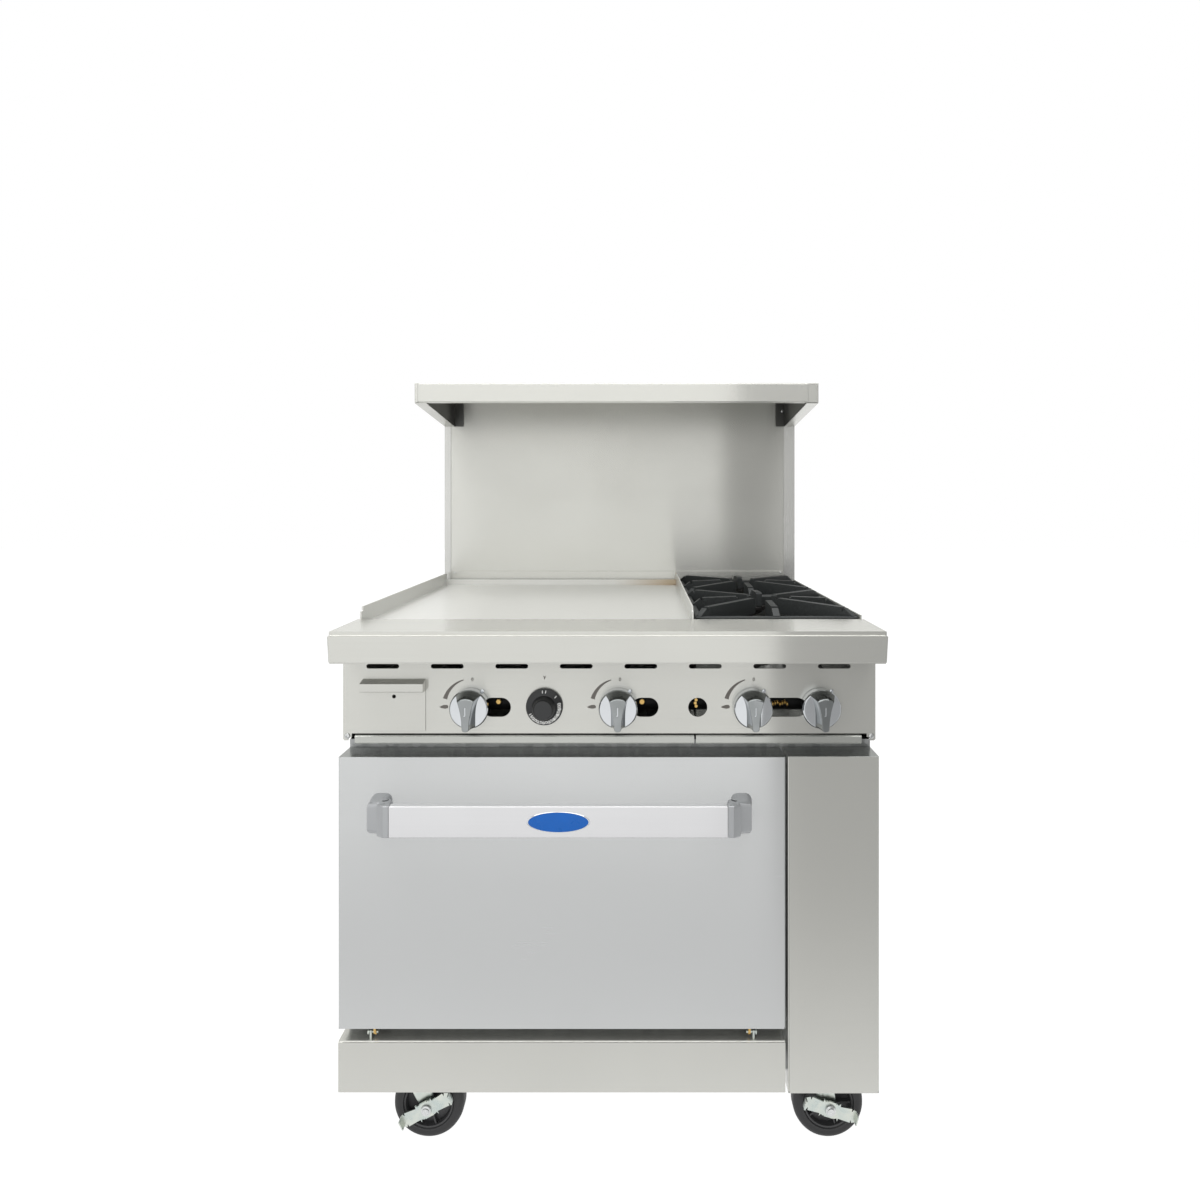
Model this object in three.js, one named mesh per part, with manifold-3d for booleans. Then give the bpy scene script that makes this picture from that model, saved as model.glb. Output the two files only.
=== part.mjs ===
// Commercial gas range: a griddle and two open burners over a drop-door oven, on four casters.
// Millimetres, +Z up, +X to the cook's right, the front faces -Y.
// Inside the range group y is the depth behind the front edge of the landing ledge.
import * as THREE from "three";
import { mergeVertices } from "three/addons/utils/BufferGeometryUtils.js";
import Module from "manifold-3d";

const wasm = await Module();
wasm.setup();

// Driving dimensions
const rangeWidth = 914.4; // 36 in
const rangeDepth = 787.4; // 31 in, ledge front to flue back
const workHeight = 940;
const overallHeight = 1418;
const undersideHeight = 154; // top of the caster plates
const handleReach = 8; // the door handle stands this far in front of the ledge
const sheet = 1.5;
const gap = 0.3;
const side = rangeWidth / 2;

const faceDepth = 44; // front of the door, kick plate and service panel
const frameDepth = 93; // front of the oven's face frame
const panelDepth = 63.5; // front of the control panel
const ledge = { depth: 127, face: 52, edge: 7 };
const panel = { bottom: 754, top: workHeight - ledge.face - gap, tab: 13, tabBottom: 742 };
const backguardDepth = 700;
const sectionSplit = 148; // griddle to its left, open burners to its right

const door = { left: -457.2, right: 298.5, bottom: 261, top: 720.5, depth: 48 };
const doorPivot = { y: 54, z: 250 };
const hingeOffset = 318; // each hinge from the door's centre line
const handle = { half: 320, barHalf: 278, bottom: 608, top: 660, thick: 14 };
const kickTop = 240;
const serviceLeft = 303.3;
const serviceTop = 721.5;

const oven = { half: 336, bottom: 305, top: 665, back: 755 };
const trayBottom = 737.5;
const trayTop = 751.5;
const trayLength = 620;
const rackHeight = 480;
const ovenBurnerHeight = 235;

const controlHeight = 800;
const knobs = {
  griddle_knob_left: -237.8,
  griddle_knob_right: 15.7,
  front_burner_knob: 245.5,
  rear_burner_knob: 361.5,
};
const dialX = -111;
const knob = { radius: 33, reach: 40, bore: 5.2 };
const dial = { radius: 31.5, reach: 25 };
const stemRadius = 4;
const portHeight = 32.5;
const ports = [
  { x: -193.5, length: 49 },
  { x: 61.5, length: 46 },
  { x: 152, length: portHeight },
  { x: 300.5, length: 77 },
];
const ventSlot = { count: 8, first: -389, pitch: 110.8, length: 55, height: 7.4, z: 869.4 };

const drawer = { left: -423, right: -315, bottom: 759, top: 848, length: 355, lip: 15.2 };
const manifold = { y: 106, z: controlHeight, radius: 16.7, left: -265, right: 420 };
const nozzleHeight = 832;

const griddle = { left: -448, right: 146, front: 168, top: 932.5, thick: 19 };
const splashTop = 962;
const rearSplashTop = 946;
const burnerX = 297;
const grate = { width: 295, depth: 281, bottom: 922, rim: 943, fin: 961, bar: 12, fins: 12 };
const grateCentres = { front_grate: 271, rear_grate: 555 };

const shelf = { front: 450, lip: 44 };
const bracket = { web: 432, drop: 28, foot: 24 };
const post = { left: 16, right: 28 }; // the riser's edges, folded over the backguard

const caster = { pivotX: 361.5, frontY: 143, rearY: 690, trail: 32, radius: 63.5, width: 32 };
const forkInner = 36;
const leverTilt = { left: 27.7, right: -17 };

// Materials
function metal(color, roughness, metalness = 1) {
  return new THREE.MeshStandardMaterial({ color, roughness, metalness });
}

const stainless = metal(0xc9c9c1, 0.35);
const doorSteel = metal(0xcdcfd0, 0.3);
const galvanised = metal(0xa8abab, 0.5);
const liner = metal(0x4c5256, 0.45, 0.6);
const griddleSteel = metal(0xbdbdb6, 0.4);
const castIron = metal(0x373c3c, 0.75, 0.4);
const aluminium = metal(0xe4e4e6, 0.3);
const chrome = metal(0xe6e8ea, 0.12);
const brass = metal(0xb98d45, 0.35);
const zinc = metal(0xb9c4bd, 0.35);
const blackPipe = metal(0x2c2d2f, 0.6, 0.5);
const blackPlastic = metal(0x17181a, 0.45, 0);
const blackRubber = metal(0x1e1f20, 0.7, 0);

// Solids
function bare(geometry) {
  const copy = new THREE.BufferGeometry();
  copy.setAttribute("position", geometry.getAttribute("position").clone());
  if (geometry.index) copy.setIndex(geometry.index.clone());
  return mergeVertices(copy, 1e-4);
}

function toSolid(geometry) {
  const merged = bare(geometry);
  const index = merged.index.array;
  const triangles = [];
  for (let i = 0; i < index.length; i += 3) {
    const [a, b, c] = [index[i], index[i + 1], index[i + 2]];
    if (a !== b && b !== c && c !== a) triangles.push(a, b, c);
  }
  return new wasm.Manifold(
    new wasm.Mesh({
      numProp: 3,
      vertProperties: new Float32Array(merged.getAttribute("position").array),
      triVerts: new Uint32Array(triangles),
    }),
  );
}

function fromSolid(solid) {
  const mesh = solid.getMesh();
  const geometry = new THREE.BufferGeometry();
  geometry.setAttribute("position", new THREE.BufferAttribute(mesh.vertProperties, 3));
  geometry.setIndex(new THREE.BufferAttribute(mesh.triVerts, 1));
  const flat = geometry.toNonIndexed();
  flat.computeVertexNormals();
  return flat;
}

function join(first, ...others) {
  return fromSolid(others.reduce((whole, next) => whole.add(toSolid(next)), toSolid(first)));
}

function cut(base, ...tools) {
  return fromSolid(tools.reduce((whole, tool) => whole.subtract(toSolid(tool)), toSolid(base)));
}

// Shapes. A box takes its [low, high] along each axis.
function box(x, y, z) {
  const geometry = new THREE.BoxGeometry(x[1] - x[0], y[1] - y[0], z[1] - z[0]);
  return geometry.translate((x[0] + x[1]) / 2, (y[0] + y[1]) / 2, (z[0] + z[1]) / 2);
}

function outline(points, holes = []) {
  const shape = new THREE.Shape(points.map(([a, b]) => new THREE.Vector2(a, b)));
  shape.holes = holes;
  return shape;
}

function rectangle(left, right, bottom, top) {
  return [[left, bottom], [right, bottom], [right, top], [left, top]];
}

function extrude(shape, length) {
  return new THREE.ExtrudeGeometry(shape, { depth: length, bevelEnabled: false, curveSegments: 8 });
}

const unit = {
  x: new THREE.Vector3(1, 0, 0),
  y: new THREE.Vector3(0, 1, 0),
  z: new THREE.Vector3(0, 0, 1),
};

// A (y, z) shape carried along X
function alongX(shape, low, high) {
  const turn = new THREE.Matrix4().makeBasis(unit.y, unit.z, unit.x);
  return extrude(shape, high - low).applyMatrix4(turn).translate(low, 0, 0);
}

// An (x, z) shape carried along Y
function alongY(shape, low, high) {
  const turn = new THREE.Matrix4().makeBasis(unit.x, unit.z, unit.y.clone().negate());
  return extrude(shape, high - low).applyMatrix4(turn).translate(0, high, 0);
}

// An (x, y) shape carried along Z
function alongZ(shape, low, high) {
  return extrude(shape, high - low).translate(0, 0, low);
}

function rodY(radius, x, z, low, high, sides = 16) {
  const rod = new THREE.CylinderGeometry(radius, radius, high - low, sides);
  return rod.translate(x, (low + high) / 2, z);
}

function rodX(radius, y, z, low, high, sides = 16) {
  const rod = new THREE.CylinderGeometry(radius, radius, high - low, sides);
  return rod.rotateZ(Math.PI / 2).translate((low + high) / 2, y, z);
}

function rodZ(radius, x, y, low, high, sides = 16) {
  const rod = new THREE.CylinderGeometry(radius, radius, high - low, sides);
  return rod.rotateX(Math.PI / 2).translate(x, y, (low + high) / 2);
}

// The section of a bent sheet: its outer face follows the path, its metal lies to the path's left
function bentSheet(path, thickness = sheet) {
  const points = path.map(([a, b]) => new THREE.Vector2(a, b));
  const normals = [];
  for (let i = 0; i + 1 < points.length; i += 1) {
    const run = points[i + 1].clone().sub(points[i]).normalize();
    normals.push(new THREE.Vector2(-run.y, run.x));
  }
  const inner = points.map((point, i) => {
    const before = normals[Math.max(i - 1, 0)];
    const after = normals[Math.min(i, normals.length - 1)];
    const mitre = before.clone().add(after).normalize();
    return point.clone().addScaledVector(mitre, thickness / mitre.dot(after));
  });
  return new THREE.Shape([...points, ...inner.reverse()]);
}

function arc(centreA, centreB, radius, from, to, steps) {
  const points = [];
  for (let i = 0; i <= steps; i += 1) {
    const angle = THREE.MathUtils.degToRad(from + ((to - from) * i) / steps);
    points.push([centreA + radius * Math.cos(angle), centreB + radius * Math.sin(angle)]);
  }
  return points;
}

// A profile of [radius, height along Y] turned about Y, whichever way round it is listed
function turned(profile, sides) {
  const points = profile.map(([radius, along]) => new THREE.Vector2(radius, along));
  if (THREE.ShapeUtils.area(points) < 0) points.reverse();
  return new THREE.LatheGeometry(points, sides);
}

function roundSlot(x, z, length, height) {
  const radius = height / 2;
  const straight = Math.max(length / 2 - radius, 0);
  const right = arc(x + straight, z, radius, -90, 90, 8);
  const left = arc(x - straight, z, radius, 90, 270, 8);
  const points = [...right, ...left.slice(straight > 0 ? 0 : 1, straight > 0 ? undefined : -1)];
  return new THREE.Path(points.map(([a, b]) => new THREE.Vector2(a, b)));
}

function squareHole(left, right, bottom, top) {
  const points = rectangle(left, right, bottom, top);
  return new THREE.Path(points.map(([a, b]) => new THREE.Vector2(a, b)));
}

const range = new THREE.Group();
range.position.y = -(rangeDepth - handleReach) / 2;

function place(name, geometry, material, x = 0, y = 0, z = 0) {
  const mesh = new THREE.Mesh(geometry, material.clone());
  mesh.name = name;
  mesh.position.set(x, y, z);
  range.add(mesh);
  return mesh;
}

// Body: base, sides, back, kick plate and service panel
function addBaseFrame() {
  const plate = { half: 50, thick: 6 };
  const depth = [caster.frontY - plate.half, rangeDepth - 4];
  const floor = box([-side + 3, side - 3], depth, [undersideHeight, undersideHeight + 2]);
  const plates = [];
  for (const x of [-caster.pivotX, caster.pivotX]) {
    for (const y of [caster.frontY, caster.rearY]) {
      const bottom = undersideHeight - plate.thick;
      plates.push(
        box([x - plate.half, x + plate.half], [y - plate.half, y + plate.half], [bottom, undersideHeight + 1]),
      );
    }
  }
  place("base_frame", join(floor, ...plates), galvanised);
}

function addSidePanels() {
  const low = undersideHeight + 3;
  const section = outline([
    [frameDepth + 3, low],
    [rangeDepth - 3, low],
    [rangeDepth - 3, workHeight - ledge.face - 2],
    [panelDepth + 3, workHeight - ledge.face - 2],
    [panelDepth + 3, panel.tabBottom + 2],
    [frameDepth + 3, panel.tabBottom + 2],
  ]);
  place("left_side_panel", alongX(section, -side, -side + sheet), stainless);
  place("right_side_panel", alongX(section, side - sheet, side), stainless);
}

function addRearPanel() {
  const low = undersideHeight + 3;
  const section = outline(rectangle(-side, side, low, workHeight - ledge.face - 2), [
    roundSlot(manifold.right, manifold.z, 50, 50),
  ]);
  place("rear_panel", alongY(section, rangeDepth - 2.5, rangeDepth - 1), galvanised);
}

function hingeX(sign) {
  return (door.left + door.right) / 2 + sign * hingeOffset;
}

function addKickPlate() {
  const section = bentSheet([
    [faceDepth + 3, undersideHeight - gap - sheet],
    [faceDepth, undersideHeight - gap - sheet],
    [faceDepth, kickTop],
    [frameDepth - gap, kickTop],
  ].reverse());
  const skin = alongX(section, door.left, door.right);
  const lugs = [-1, 1].flatMap((sign) => {
    const x = hingeX(sign) + sign * 7;
    return [
      box([x - 2, x + 2], [doorPivot.y - 5, doorPivot.y + 14], [kickTop - 1, doorPivot.z + 5]),
      rodX(2.5, doorPivot.y, doorPivot.z, Math.min(x, hingeX(sign)) - 2, Math.max(x, hingeX(sign)) + 2, 12),
    ];
  });
  place("kick_plate", join(skin, ...lugs), stainless);
}

function pan(x, y, z) {
  const hollow = box([x[0] + sheet, x[1] - sheet], [y[0] + sheet, y[1] + 1], [z[0] + sheet, z[1] - sheet]);
  return cut(box(x, y, z), hollow);
}

function addServicePanel() {
  const skin = pan([serviceLeft, side], [faceDepth, frameDepth - gap], [undersideHeight - gap - sheet, serviceTop]);
  place("service_panel", skin, stainless);
}

function ovenCentre() {
  return (door.left + door.right) / 2;
}

function addOvenFrontFrame() {
  const x = ovenCentre();
  const section = outline(rectangle(-side, side, undersideHeight + 3, trayBottom - 3), [
    squareHole(x - oven.half, x + oven.half, oven.bottom, oven.top),
    squareHole(serviceLeft + 12, side - 12, undersideHeight + 25, serviceTop - 25),
  ]);
  place("oven_front_frame", alongY(section, frameDepth, frameDepth + sheet), galvanised);
}

function addServiceDivider() {
  const left = door.right + 4;
  const depth = [frameDepth + sheet + gap, rangeDepth - 3];
  const height = [undersideHeight + 3, trayBottom - 3];
  place("service_divider", box([left, left + sheet], depth, height), galvanised);
}

// Oven: liner walls with rack guides, deck and tube burner
function addOvenLiner() {
  const x = ovenCentre();
  const front = frameDepth + sheet + gap;
  const depth = [front, oven.back];
  const guideHeights = [rackHeight - 90, rackHeight - 10, rackHeight + 70];
  for (const [name, sign] of [["oven_left_wall", -1], ["oven_right_wall", 1]]) {
    const face = x + sign * oven.half;
    const span = (inner, outer) => [face + sign * inner, face + sign * outer].sort((a, b) => a - b);
    const wall = box(span(0, sheet), depth, [oven.bottom, oven.top]);
    const guides = guideHeights.map((z) => box(span(-9, 0.5), [front + 15, oven.back - 15], [z, z + 8]));
    place(name, join(wall, ...guides), liner);
  }
  const across = [x - oven.half - sheet, x + oven.half + sheet];
  place("oven_ceiling", box(across, depth, [oven.top + gap, oven.top + gap + sheet]), liner);
  place("oven_rear_wall", box(across, [oven.back + gap, oven.back + gap + sheet], [oven.bottom, oven.top]), liner);
  place("oven_deck", box(across, depth, [oven.bottom - gap - 3, oven.bottom - gap]), liner);
}

function addOvenBurner() {
  const x = ovenCentre();
  const z = ovenBurnerHeight;
  const tube = rodY(16, x, z, 130, 690);
  const cross = rodX(16, 400, z, x - 150, x + 150);
  place("oven_burner", join(tube, cross), castIron);
}

function addOvenRack() {
  const x = ovenCentre();
  const half = oven.half - 5;
  const [front, back] = [112, 740];
  const wire = 7;
  const low = rackHeight - 2 + gap;
  const frame = cut(
    box([x - half, x + half], [front, back], [low, low + wire]),
    box([x - half + wire, x + half - wire], [front + wire, back - wire], [low - 1, low + wire + 1]),
  );
  const wires = [];
  const count = 11;
  for (let i = 1; i <= count; i += 1) {
    const wireX = x - half + (2 * half * i) / (count + 1);
    wires.push(box([wireX - 2.5, wireX + 2.5], [front + 1, back - 1], [low + 1, low + 6]));
  }
  const braces = [0.33, 0.67].map((share) => {
    const y = front + (back - front) * share;
    return box([x - half + 1, x + half - 1], [y - 3, y + 3], [low + 0.5, low + 5]);
  });
  place("oven_rack", join(frame, ...wires, ...braces), chrome);
}

// Oven door
function addDoor() {
  const y = [faceDepth, faceDepth + door.depth];
  const x = [door.left, door.right];
  const shell = pan(x, y, [door.bottom, door.top]);
  const arms = [-1, 1].map((sign) => {
    const centre = hingeX(sign);
    const arm = box([centre - 2, centre + 2], [doorPivot.y - 5, doorPivot.y + 5], [doorPivot.z - 5, door.bottom + 1]);
    return cut(arm, rodX(3.5, doorPivot.y, doorPivot.z, centre - 4, centre + 4, 12));
  });
  place("door_outer_panel", join(shell, ...arms), doorSteel);

  const inset = sheet + gap;
  const inner = box(
    [x[0] + inset, x[1] - inset],
    [y[1] - 14, y[1] - gap],
    [door.bottom + inset, door.top - inset],
  );
  place("door_inner_panel", inner, galvanised);
}

function addHandle() {
  const back = faceDepth - gap;
  const bend = 30;
  const foot = 38;
  const front = -handleReach;
  const inside = front + handle.thick;
  const right = [
    [handle.barHalf - 8, front],
    ...arc(handle.half - bend, front + bend, bend, -90, 0, 6),
    [handle.half, back],
    [handle.half - foot, back],
    [handle.half - foot, inside + 14],
    ...arc(handle.half - foot - 14, inside + 14, 14, 0, -90, 4).slice(1),
  ];
  const left = right.map(([a, b]) => [-a, b]).reverse();
  const plan = new THREE.Shape([...right, ...left].map(([a, b]) => new THREE.Vector2(a, b)));
  place("door_handle", alongZ(plan, handle.bottom, handle.top), aluminium, ovenCentre());
}

// Front: control panel, ledge, grease drawer and crumb trays
function addControlPanel() {
  const { tab, tabBottom, bottom, top } = panel;
  const edge = [
    [-side, tabBottom], [-side + tab, tabBottom], [-side + tab, bottom],
    [side - tab, bottom], [side - tab, tabBottom], [side, tabBottom],
    [side, top], [-side, top],
  ];
  const portHoles = ports.map(({ x, length }) => roundSlot(x, controlHeight - 1, length, portHeight));
  const stems = [...Object.values(knobs), dialX].map((x) => roundSlot(x, controlHeight, 16, 16));
  const vents = [];
  for (let i = 0; i < ventSlot.count; i += 1) {
    const x = ventSlot.first + i * ventSlot.pitch;
    const [halfLength, halfHeight] = [ventSlot.length / 2, ventSlot.height / 2];
    vents.push(
      box(
        [x - halfLength, x + halfLength],
        [panelDepth - 5, panelDepth + 5],
        [ventSlot.z - halfHeight, ventSlot.z + halfHeight],
      ),
    );
  }
  const drawerHole = squareHole(drawer.left + 2, drawer.right - 2, drawer.bottom + 2, drawer.top - 6);
  const section = outline(edge, [...portHoles, ...stems, drawerHole]);
  const skin = alongY(section, panelDepth, panelDepth + sheet);
  place("control_panel", cut(skin, ...vents), stainless);
}

function addFrontLedge() {
  const low = workHeight - ledge.face;
  const wall = 2;
  const section = outline([
    [0, low],
    [ledge.depth, low],
    [ledge.depth, workHeight],
    ...arc(ledge.edge, workHeight - ledge.edge, ledge.edge, 90, 180, 5),
  ]);
  const across = [-side + wall, side - wall];
  const inside = box(across, [wall, ledge.depth - wall], [low + wall, workHeight - wall]);
  const openBack = box(across, [16, ledge.depth + 1], [low - 1, workHeight - 12]);
  place("front_ledge", cut(alongX(section, -side, side), inside, openBack), stainless);
}

function addGreaseDrawer() {
  const front = [panelDepth - gap - sheet, panelDepth - gap];
  const face = cut(
    box([drawer.left, drawer.right], front, [drawer.bottom, drawer.top]),
    rodY(3, (drawer.left + drawer.right) / 2, drawer.top - 30, front[0] - 5, front[1] + 5),
  );
  const lipSection = outline([
    [front[0] + 0.5, drawer.top],
    [front[0] - drawer.lip, drawer.top - 2.3],
    [front[0] - drawer.lip, drawer.top - 4.5],
    [front[0] - 1, drawer.top - 17],
    [front[0] + 0.5, drawer.top - 18],
  ]);
  const lip = alongX(lipSection, drawer.left, drawer.right);
  const [left, right] = [drawer.left + 4, drawer.right - 4];
  const [low, high] = [drawer.bottom + 4, drawer.top - 9];
  const depth = [front[1] - 0.5, front[1] + drawer.length];
  const body = cut(
    box([left, right], depth, [low, high]),
    box([left + sheet, right - sheet], [front[1] + sheet, depth[1] - sheet], [low + sheet, high + 1]),
  );
  place("grease_drawer", join(face, lip, body), stainless);
}

function addCrumbTrays() {
  const front = panelDepth - gap - 4;
  for (const [name, left, right] of [
    ["crumb_tray_left", -435.5, 145.5],
    ["crumb_tray_right", 148.6, 432],
  ]) {
    const depth = [front, front + trayLength];
    const tray = cut(
      box([left, right], depth, [trayBottom, trayTop]),
      box([left + sheet, right - sheet], [front + sheet, depth[1] - sheet], [trayBottom + sheet, trayTop + 1]),
    );
    place(name, tray, galvanised);
  }
}

// Controls: knobs and dial turn on their valve stems
function knobGeometry() {
  const { radius, reach, bore } = knob;
  const profile = [
    [bore, 0], [radius, 0], [radius, -5], [radius - 4, -reach + 12],
    [radius - 7, -reach + 7], [0, -reach + 6], [0, -22], [bore, -22], [bore, 0],
  ];
  const skirt = turned(profile, 24);
  const grip = box([-8, 8], [-reach, -reach + 9], [-radius - 3, radius - 6]);
  return join(skirt, grip);
}

function addKnobs() {
  const geometry = knobGeometry();
  for (const [name, x] of Object.entries(knobs)) {
    place(name, geometry.clone(), chrome, x, panelDepth - 1, controlHeight);
  }
}

function addDial() {
  const { radius, reach } = dial;
  const profile = [
    [knob.bore, 0], [radius, 0], [radius, -4], [radius - 9, -reach + 3],
    [radius - 12, -reach], [0, -reach], [0, -18], [knob.bore, -18], [knob.bore, 0],
  ];
  const body = join(turned(profile, 24));
  place("oven_dial", body, blackPlastic, dialX, panelDepth - 1, controlHeight + 1);
}

// Gas train: manifold with its rear inlet, valves and the oven thermostat
function addManifold() {
  const { y, z, radius, left, right } = manifold;
  const pipe = rodX(radius, y, z, left, right + radius);
  const feed = rodY(13.4, right, z, y, rangeDepth);
  place("gas_manifold", join(pipe, feed), blackPipe);
}

function addValves() {
  const back = manifold.y - manifold.radius - gap;
  const front = panelDepth + sheet + 1;
  const body = rodY(13, 0, 0, front, back);
  const stem = rodY(stemRadius, 0, 0, panelDepth - 18, front + 1, 12);
  const rise = nozzleHeight - controlHeight;
  const riser = rodZ(6, 0, front + 10, 5, rise + 6, 12);
  const nozzle = rodY(5, 0, rise, front + 8, manifold.y + 24, 12);
  const geometry = join(body, stem, riser, nozzle);
  for (const [name, x] of Object.entries(knobs)) {
    place(name.replace("knob", "valve"), geometry.clone(), brass, x, 0, controlHeight);
  }
}

function addThermostat() {
  const front = panelDepth + sheet + 1;
  const back = manifold.y - manifold.radius - gap;
  const body = box([-25, 25], [front, back], [-24, 24]);
  const stem = rodY(stemRadius, 0, 1, panelDepth - 14, front + 1, 12);
  place("oven_thermostat", join(body, stem), zinc, dialX, 0, controlHeight);
}

// Cooktop: griddle, splash guard, grease trough and burners
function addGriddle() {
  const low = griddle.top - griddle.thick;
  const x = [griddle.left, griddle.right];
  place("griddle_plate", box(x, [griddle.front, backguardDepth - 14], [low, griddle.top]), griddleSteel);
}

function splashSide(x) {
  const cornerFront = ledge.depth - 5;
  const low = workHeight - ledge.face;
  const section = outline([
    [ledge.depth + gap, low],
    [backguardDepth - 11, low],
    [backguardDepth - 11, splashTop],
    [cornerFront + 22, splashTop],
    [cornerFront + 4, splashTop - 10],
    [cornerFront, workHeight + gap],
    [ledge.depth + gap, workHeight + gap],
  ]);
  return alongX(section, x, x + 3);
}

function addGriddleSplash() {
  const left = griddle.left - 3 - gap;
  const right = griddle.right + gap;
  const rear = box(
    [left, right + 3],
    [backguardDepth - 14 + gap, backguardDepth - 11],
    [griddle.top - griddle.thick, rearSplashTop],
  );
  place("griddle_splash", join(splashSide(left), splashSide(right), rear), griddleSteel);
}

function addGreaseTrough() {
  const front = ledge.depth + 2;
  const back = griddle.front - gap - 1;
  const low = 884;
  const top = griddle.top - griddle.thick - gap;
  const x = [griddle.left, griddle.right];
  const solid = box(x, [front, back], [low, top]);
  const inside = box([x[0] + sheet, x[1] - sheet], [front + sheet, back - sheet], [low + sheet, top + 1]);
  const drain = rodZ(14, (drawer.left + drawer.right) / 2, (front + back) / 2, low - 5, low + 5);
  place("grease_trough", cut(solid, inside, drain), griddleSteel);
}

function addGriddleBurners() {
  const [front, back, spread, radius] = [240, 650, 66, 14];
  const z = nozzleHeight + 12;
  const throat = rodY(17, 0, z - 8, manifold.y + 30, front);
  const legs = [-spread, spread].map((x) => rodY(radius, x, z, front - radius, back + radius));
  const bars = [front, back].map((y) => rodX(radius, y, z, -spread, spread));
  const geometry = join(throat, ...legs, ...bars);
  place("griddle_burner_left", geometry.clone(), castIron, knobs.griddle_knob_left);
  place("griddle_burner_right", geometry.clone(), castIron, knobs.griddle_knob_right);
}

function openBurner(tubeX, centreY) {
  const z = nozzleHeight;
  const profile = [[0, 0], [20, 0], [22, 48], [52, 60], [58, 68], [58, 76], [44, 86], [0, 88]];
  const head = turned(profile, 20).rotateX(Math.PI / 2).translate(burnerX, centreY, z - 6);
  const start = manifold.y + 30;
  const path = new THREE.CurvePath();
  const corner = new THREE.Vector3(tubeX, centreY - 110, z + 6);
  const end = new THREE.Vector3(burnerX, centreY, z + 8);
  path.add(new THREE.LineCurve3(new THREE.Vector3(tubeX, start, z), corner));
  path.add(new THREE.LineCurve3(corner, end));
  const ring = outline(arc(0, 0, 14, 0, 330, 11));
  const steps = { steps: 12, bevelEnabled: false, extrudePath: path };
  return join(new THREE.ExtrudeGeometry(ring, steps), head);
}

function addOpenBurners() {
  const front = openBurner(knobs.front_burner_knob, grateCentres.front_grate);
  const rear = openBurner(knobs.rear_burner_knob, grateCentres.rear_grate);
  place("front_burner", front, castIron);
  place("rear_burner", rear, castIron);
}

function addBurnerBox() {
  const x = sectionSplit + 5;
  const depth = [ledge.depth + 3, backguardDepth - 12];
  place("burner_divider", box([x, x + sheet], depth, [panel.bottom + 2, grate.bottom - 1]), galvanised);
  const railX = side - 6;
  const rail = box([railX, railX + 3], depth, [workHeight - ledge.face, rearSplashTop]);
  place("right_side_rail", rail, stainless);
}

function grateGeometry() {
  const [halfX, halfY] = [grate.width / 2, grate.depth / 2];
  const rim = cut(
    box([-halfX, halfX], [-halfY, halfY], [grate.bottom, grate.rim]),
    box(
      [-halfX + grate.bar, halfX - grate.bar],
      [-halfY + grate.bar, halfY - grate.bar],
      [grate.bottom - 1, grate.rim + 1],
    ),
  );
  const finSection = (reach, inner) => outline([
    [inner, grate.bottom + 8], [reach, grate.bottom], [reach, grate.rim - 1],
    [reach - 20, grate.fin - 3], [inner, grate.fin],
  ]);
  const half = grate.fins / 2;
  const diagonal = Math.hypot(halfX, halfY) - 9;
  const fins = [];
  for (const angle of [45, 135, 225, 315]) {
    const fin = alongY(finSection(diagonal, 34), -half, half);
    const turn = Math.atan2(halfY, halfX) * Math.sign(Math.tan(THREE.MathUtils.degToRad(angle)));
    fins.push(fin.rotateZ(angle > 90 && angle < 270 ? Math.PI + turn : turn));
  }
  for (const turn of [0.5, 1, 1.5, 2]) {
    const reach = turn % 1 === 0 ? halfX - 2 : halfY - 2;
    fins.push(alongY(finSection(reach, 52), -half, half).rotateZ(turn * Math.PI));
  }
  return join(rim, ...fins);
}

function addGrates() {
  const geometry = grateGeometry();
  for (const [name, y] of Object.entries(grateCentres)) {
    place(name, geometry.clone(), castIron, burnerX + 4, y);
  }
}

// Backguard, flue riser and high shelf
function addBackguard() {
  const front = backguardDepth + sheet + gap;
  const height = [workHeight + 3, overallHeight - sheet - gap];
  const skin = box([-side + 3, side - 3], [front, front + sheet], height);
  const strip = box(
    [-side + post.left + 3, side - post.right - 3],
    [backguardDepth - 3, front + 0.5],
    [workHeight + 3, 966],
  );
  place("backguard_panel", join(skin, strip), stainless);

  const section = new THREE.Shape([
    [-side + post.left, backguardDepth], [-side + post.left, backguardDepth + sheet],
    [-side + sheet, backguardDepth + sheet], [-side + sheet, rangeDepth - sheet],
    [side - sheet, rangeDepth - sheet], [side - sheet, backguardDepth + sheet],
    [side - post.right, backguardDepth + sheet], [side - post.right, backguardDepth],
    [side, backguardDepth], [side, rangeDepth], [-side, rangeDepth], [-side, backguardDepth],
  ].map(([a, b]) => new THREE.Vector2(a, b)));
  const riser = alongZ(section, workHeight - ledge.face - 1, overallHeight - shelf.lip - 1);
  const slots = [];
  for (let i = -3; i <= 3; i += 1) {
    slots.push(box([i * 120 - 42, i * 120 + 42], [rangeDepth - 5, rangeDepth + 5], [1318, 1330]));
  }
  place("flue_riser", cut(riser, ...slots), stainless);
}

function addShelf() {
  const low = overallHeight - shelf.lip;
  const solid = box([-side, side], [shelf.front, rangeDepth], [low, overallHeight]);
  const inside = box(
    [-side + sheet, side - sheet],
    [shelf.front + sheet, rangeDepth - sheet],
    [low - 1, overallHeight - sheet],
  );
  const hem = box([-side + 1, side - 1], [shelf.front + 0.5, shelf.front + 13], [low, low + sheet]);
  place("shelf", join(cut(solid, inside), hem), stainless);
}

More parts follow.
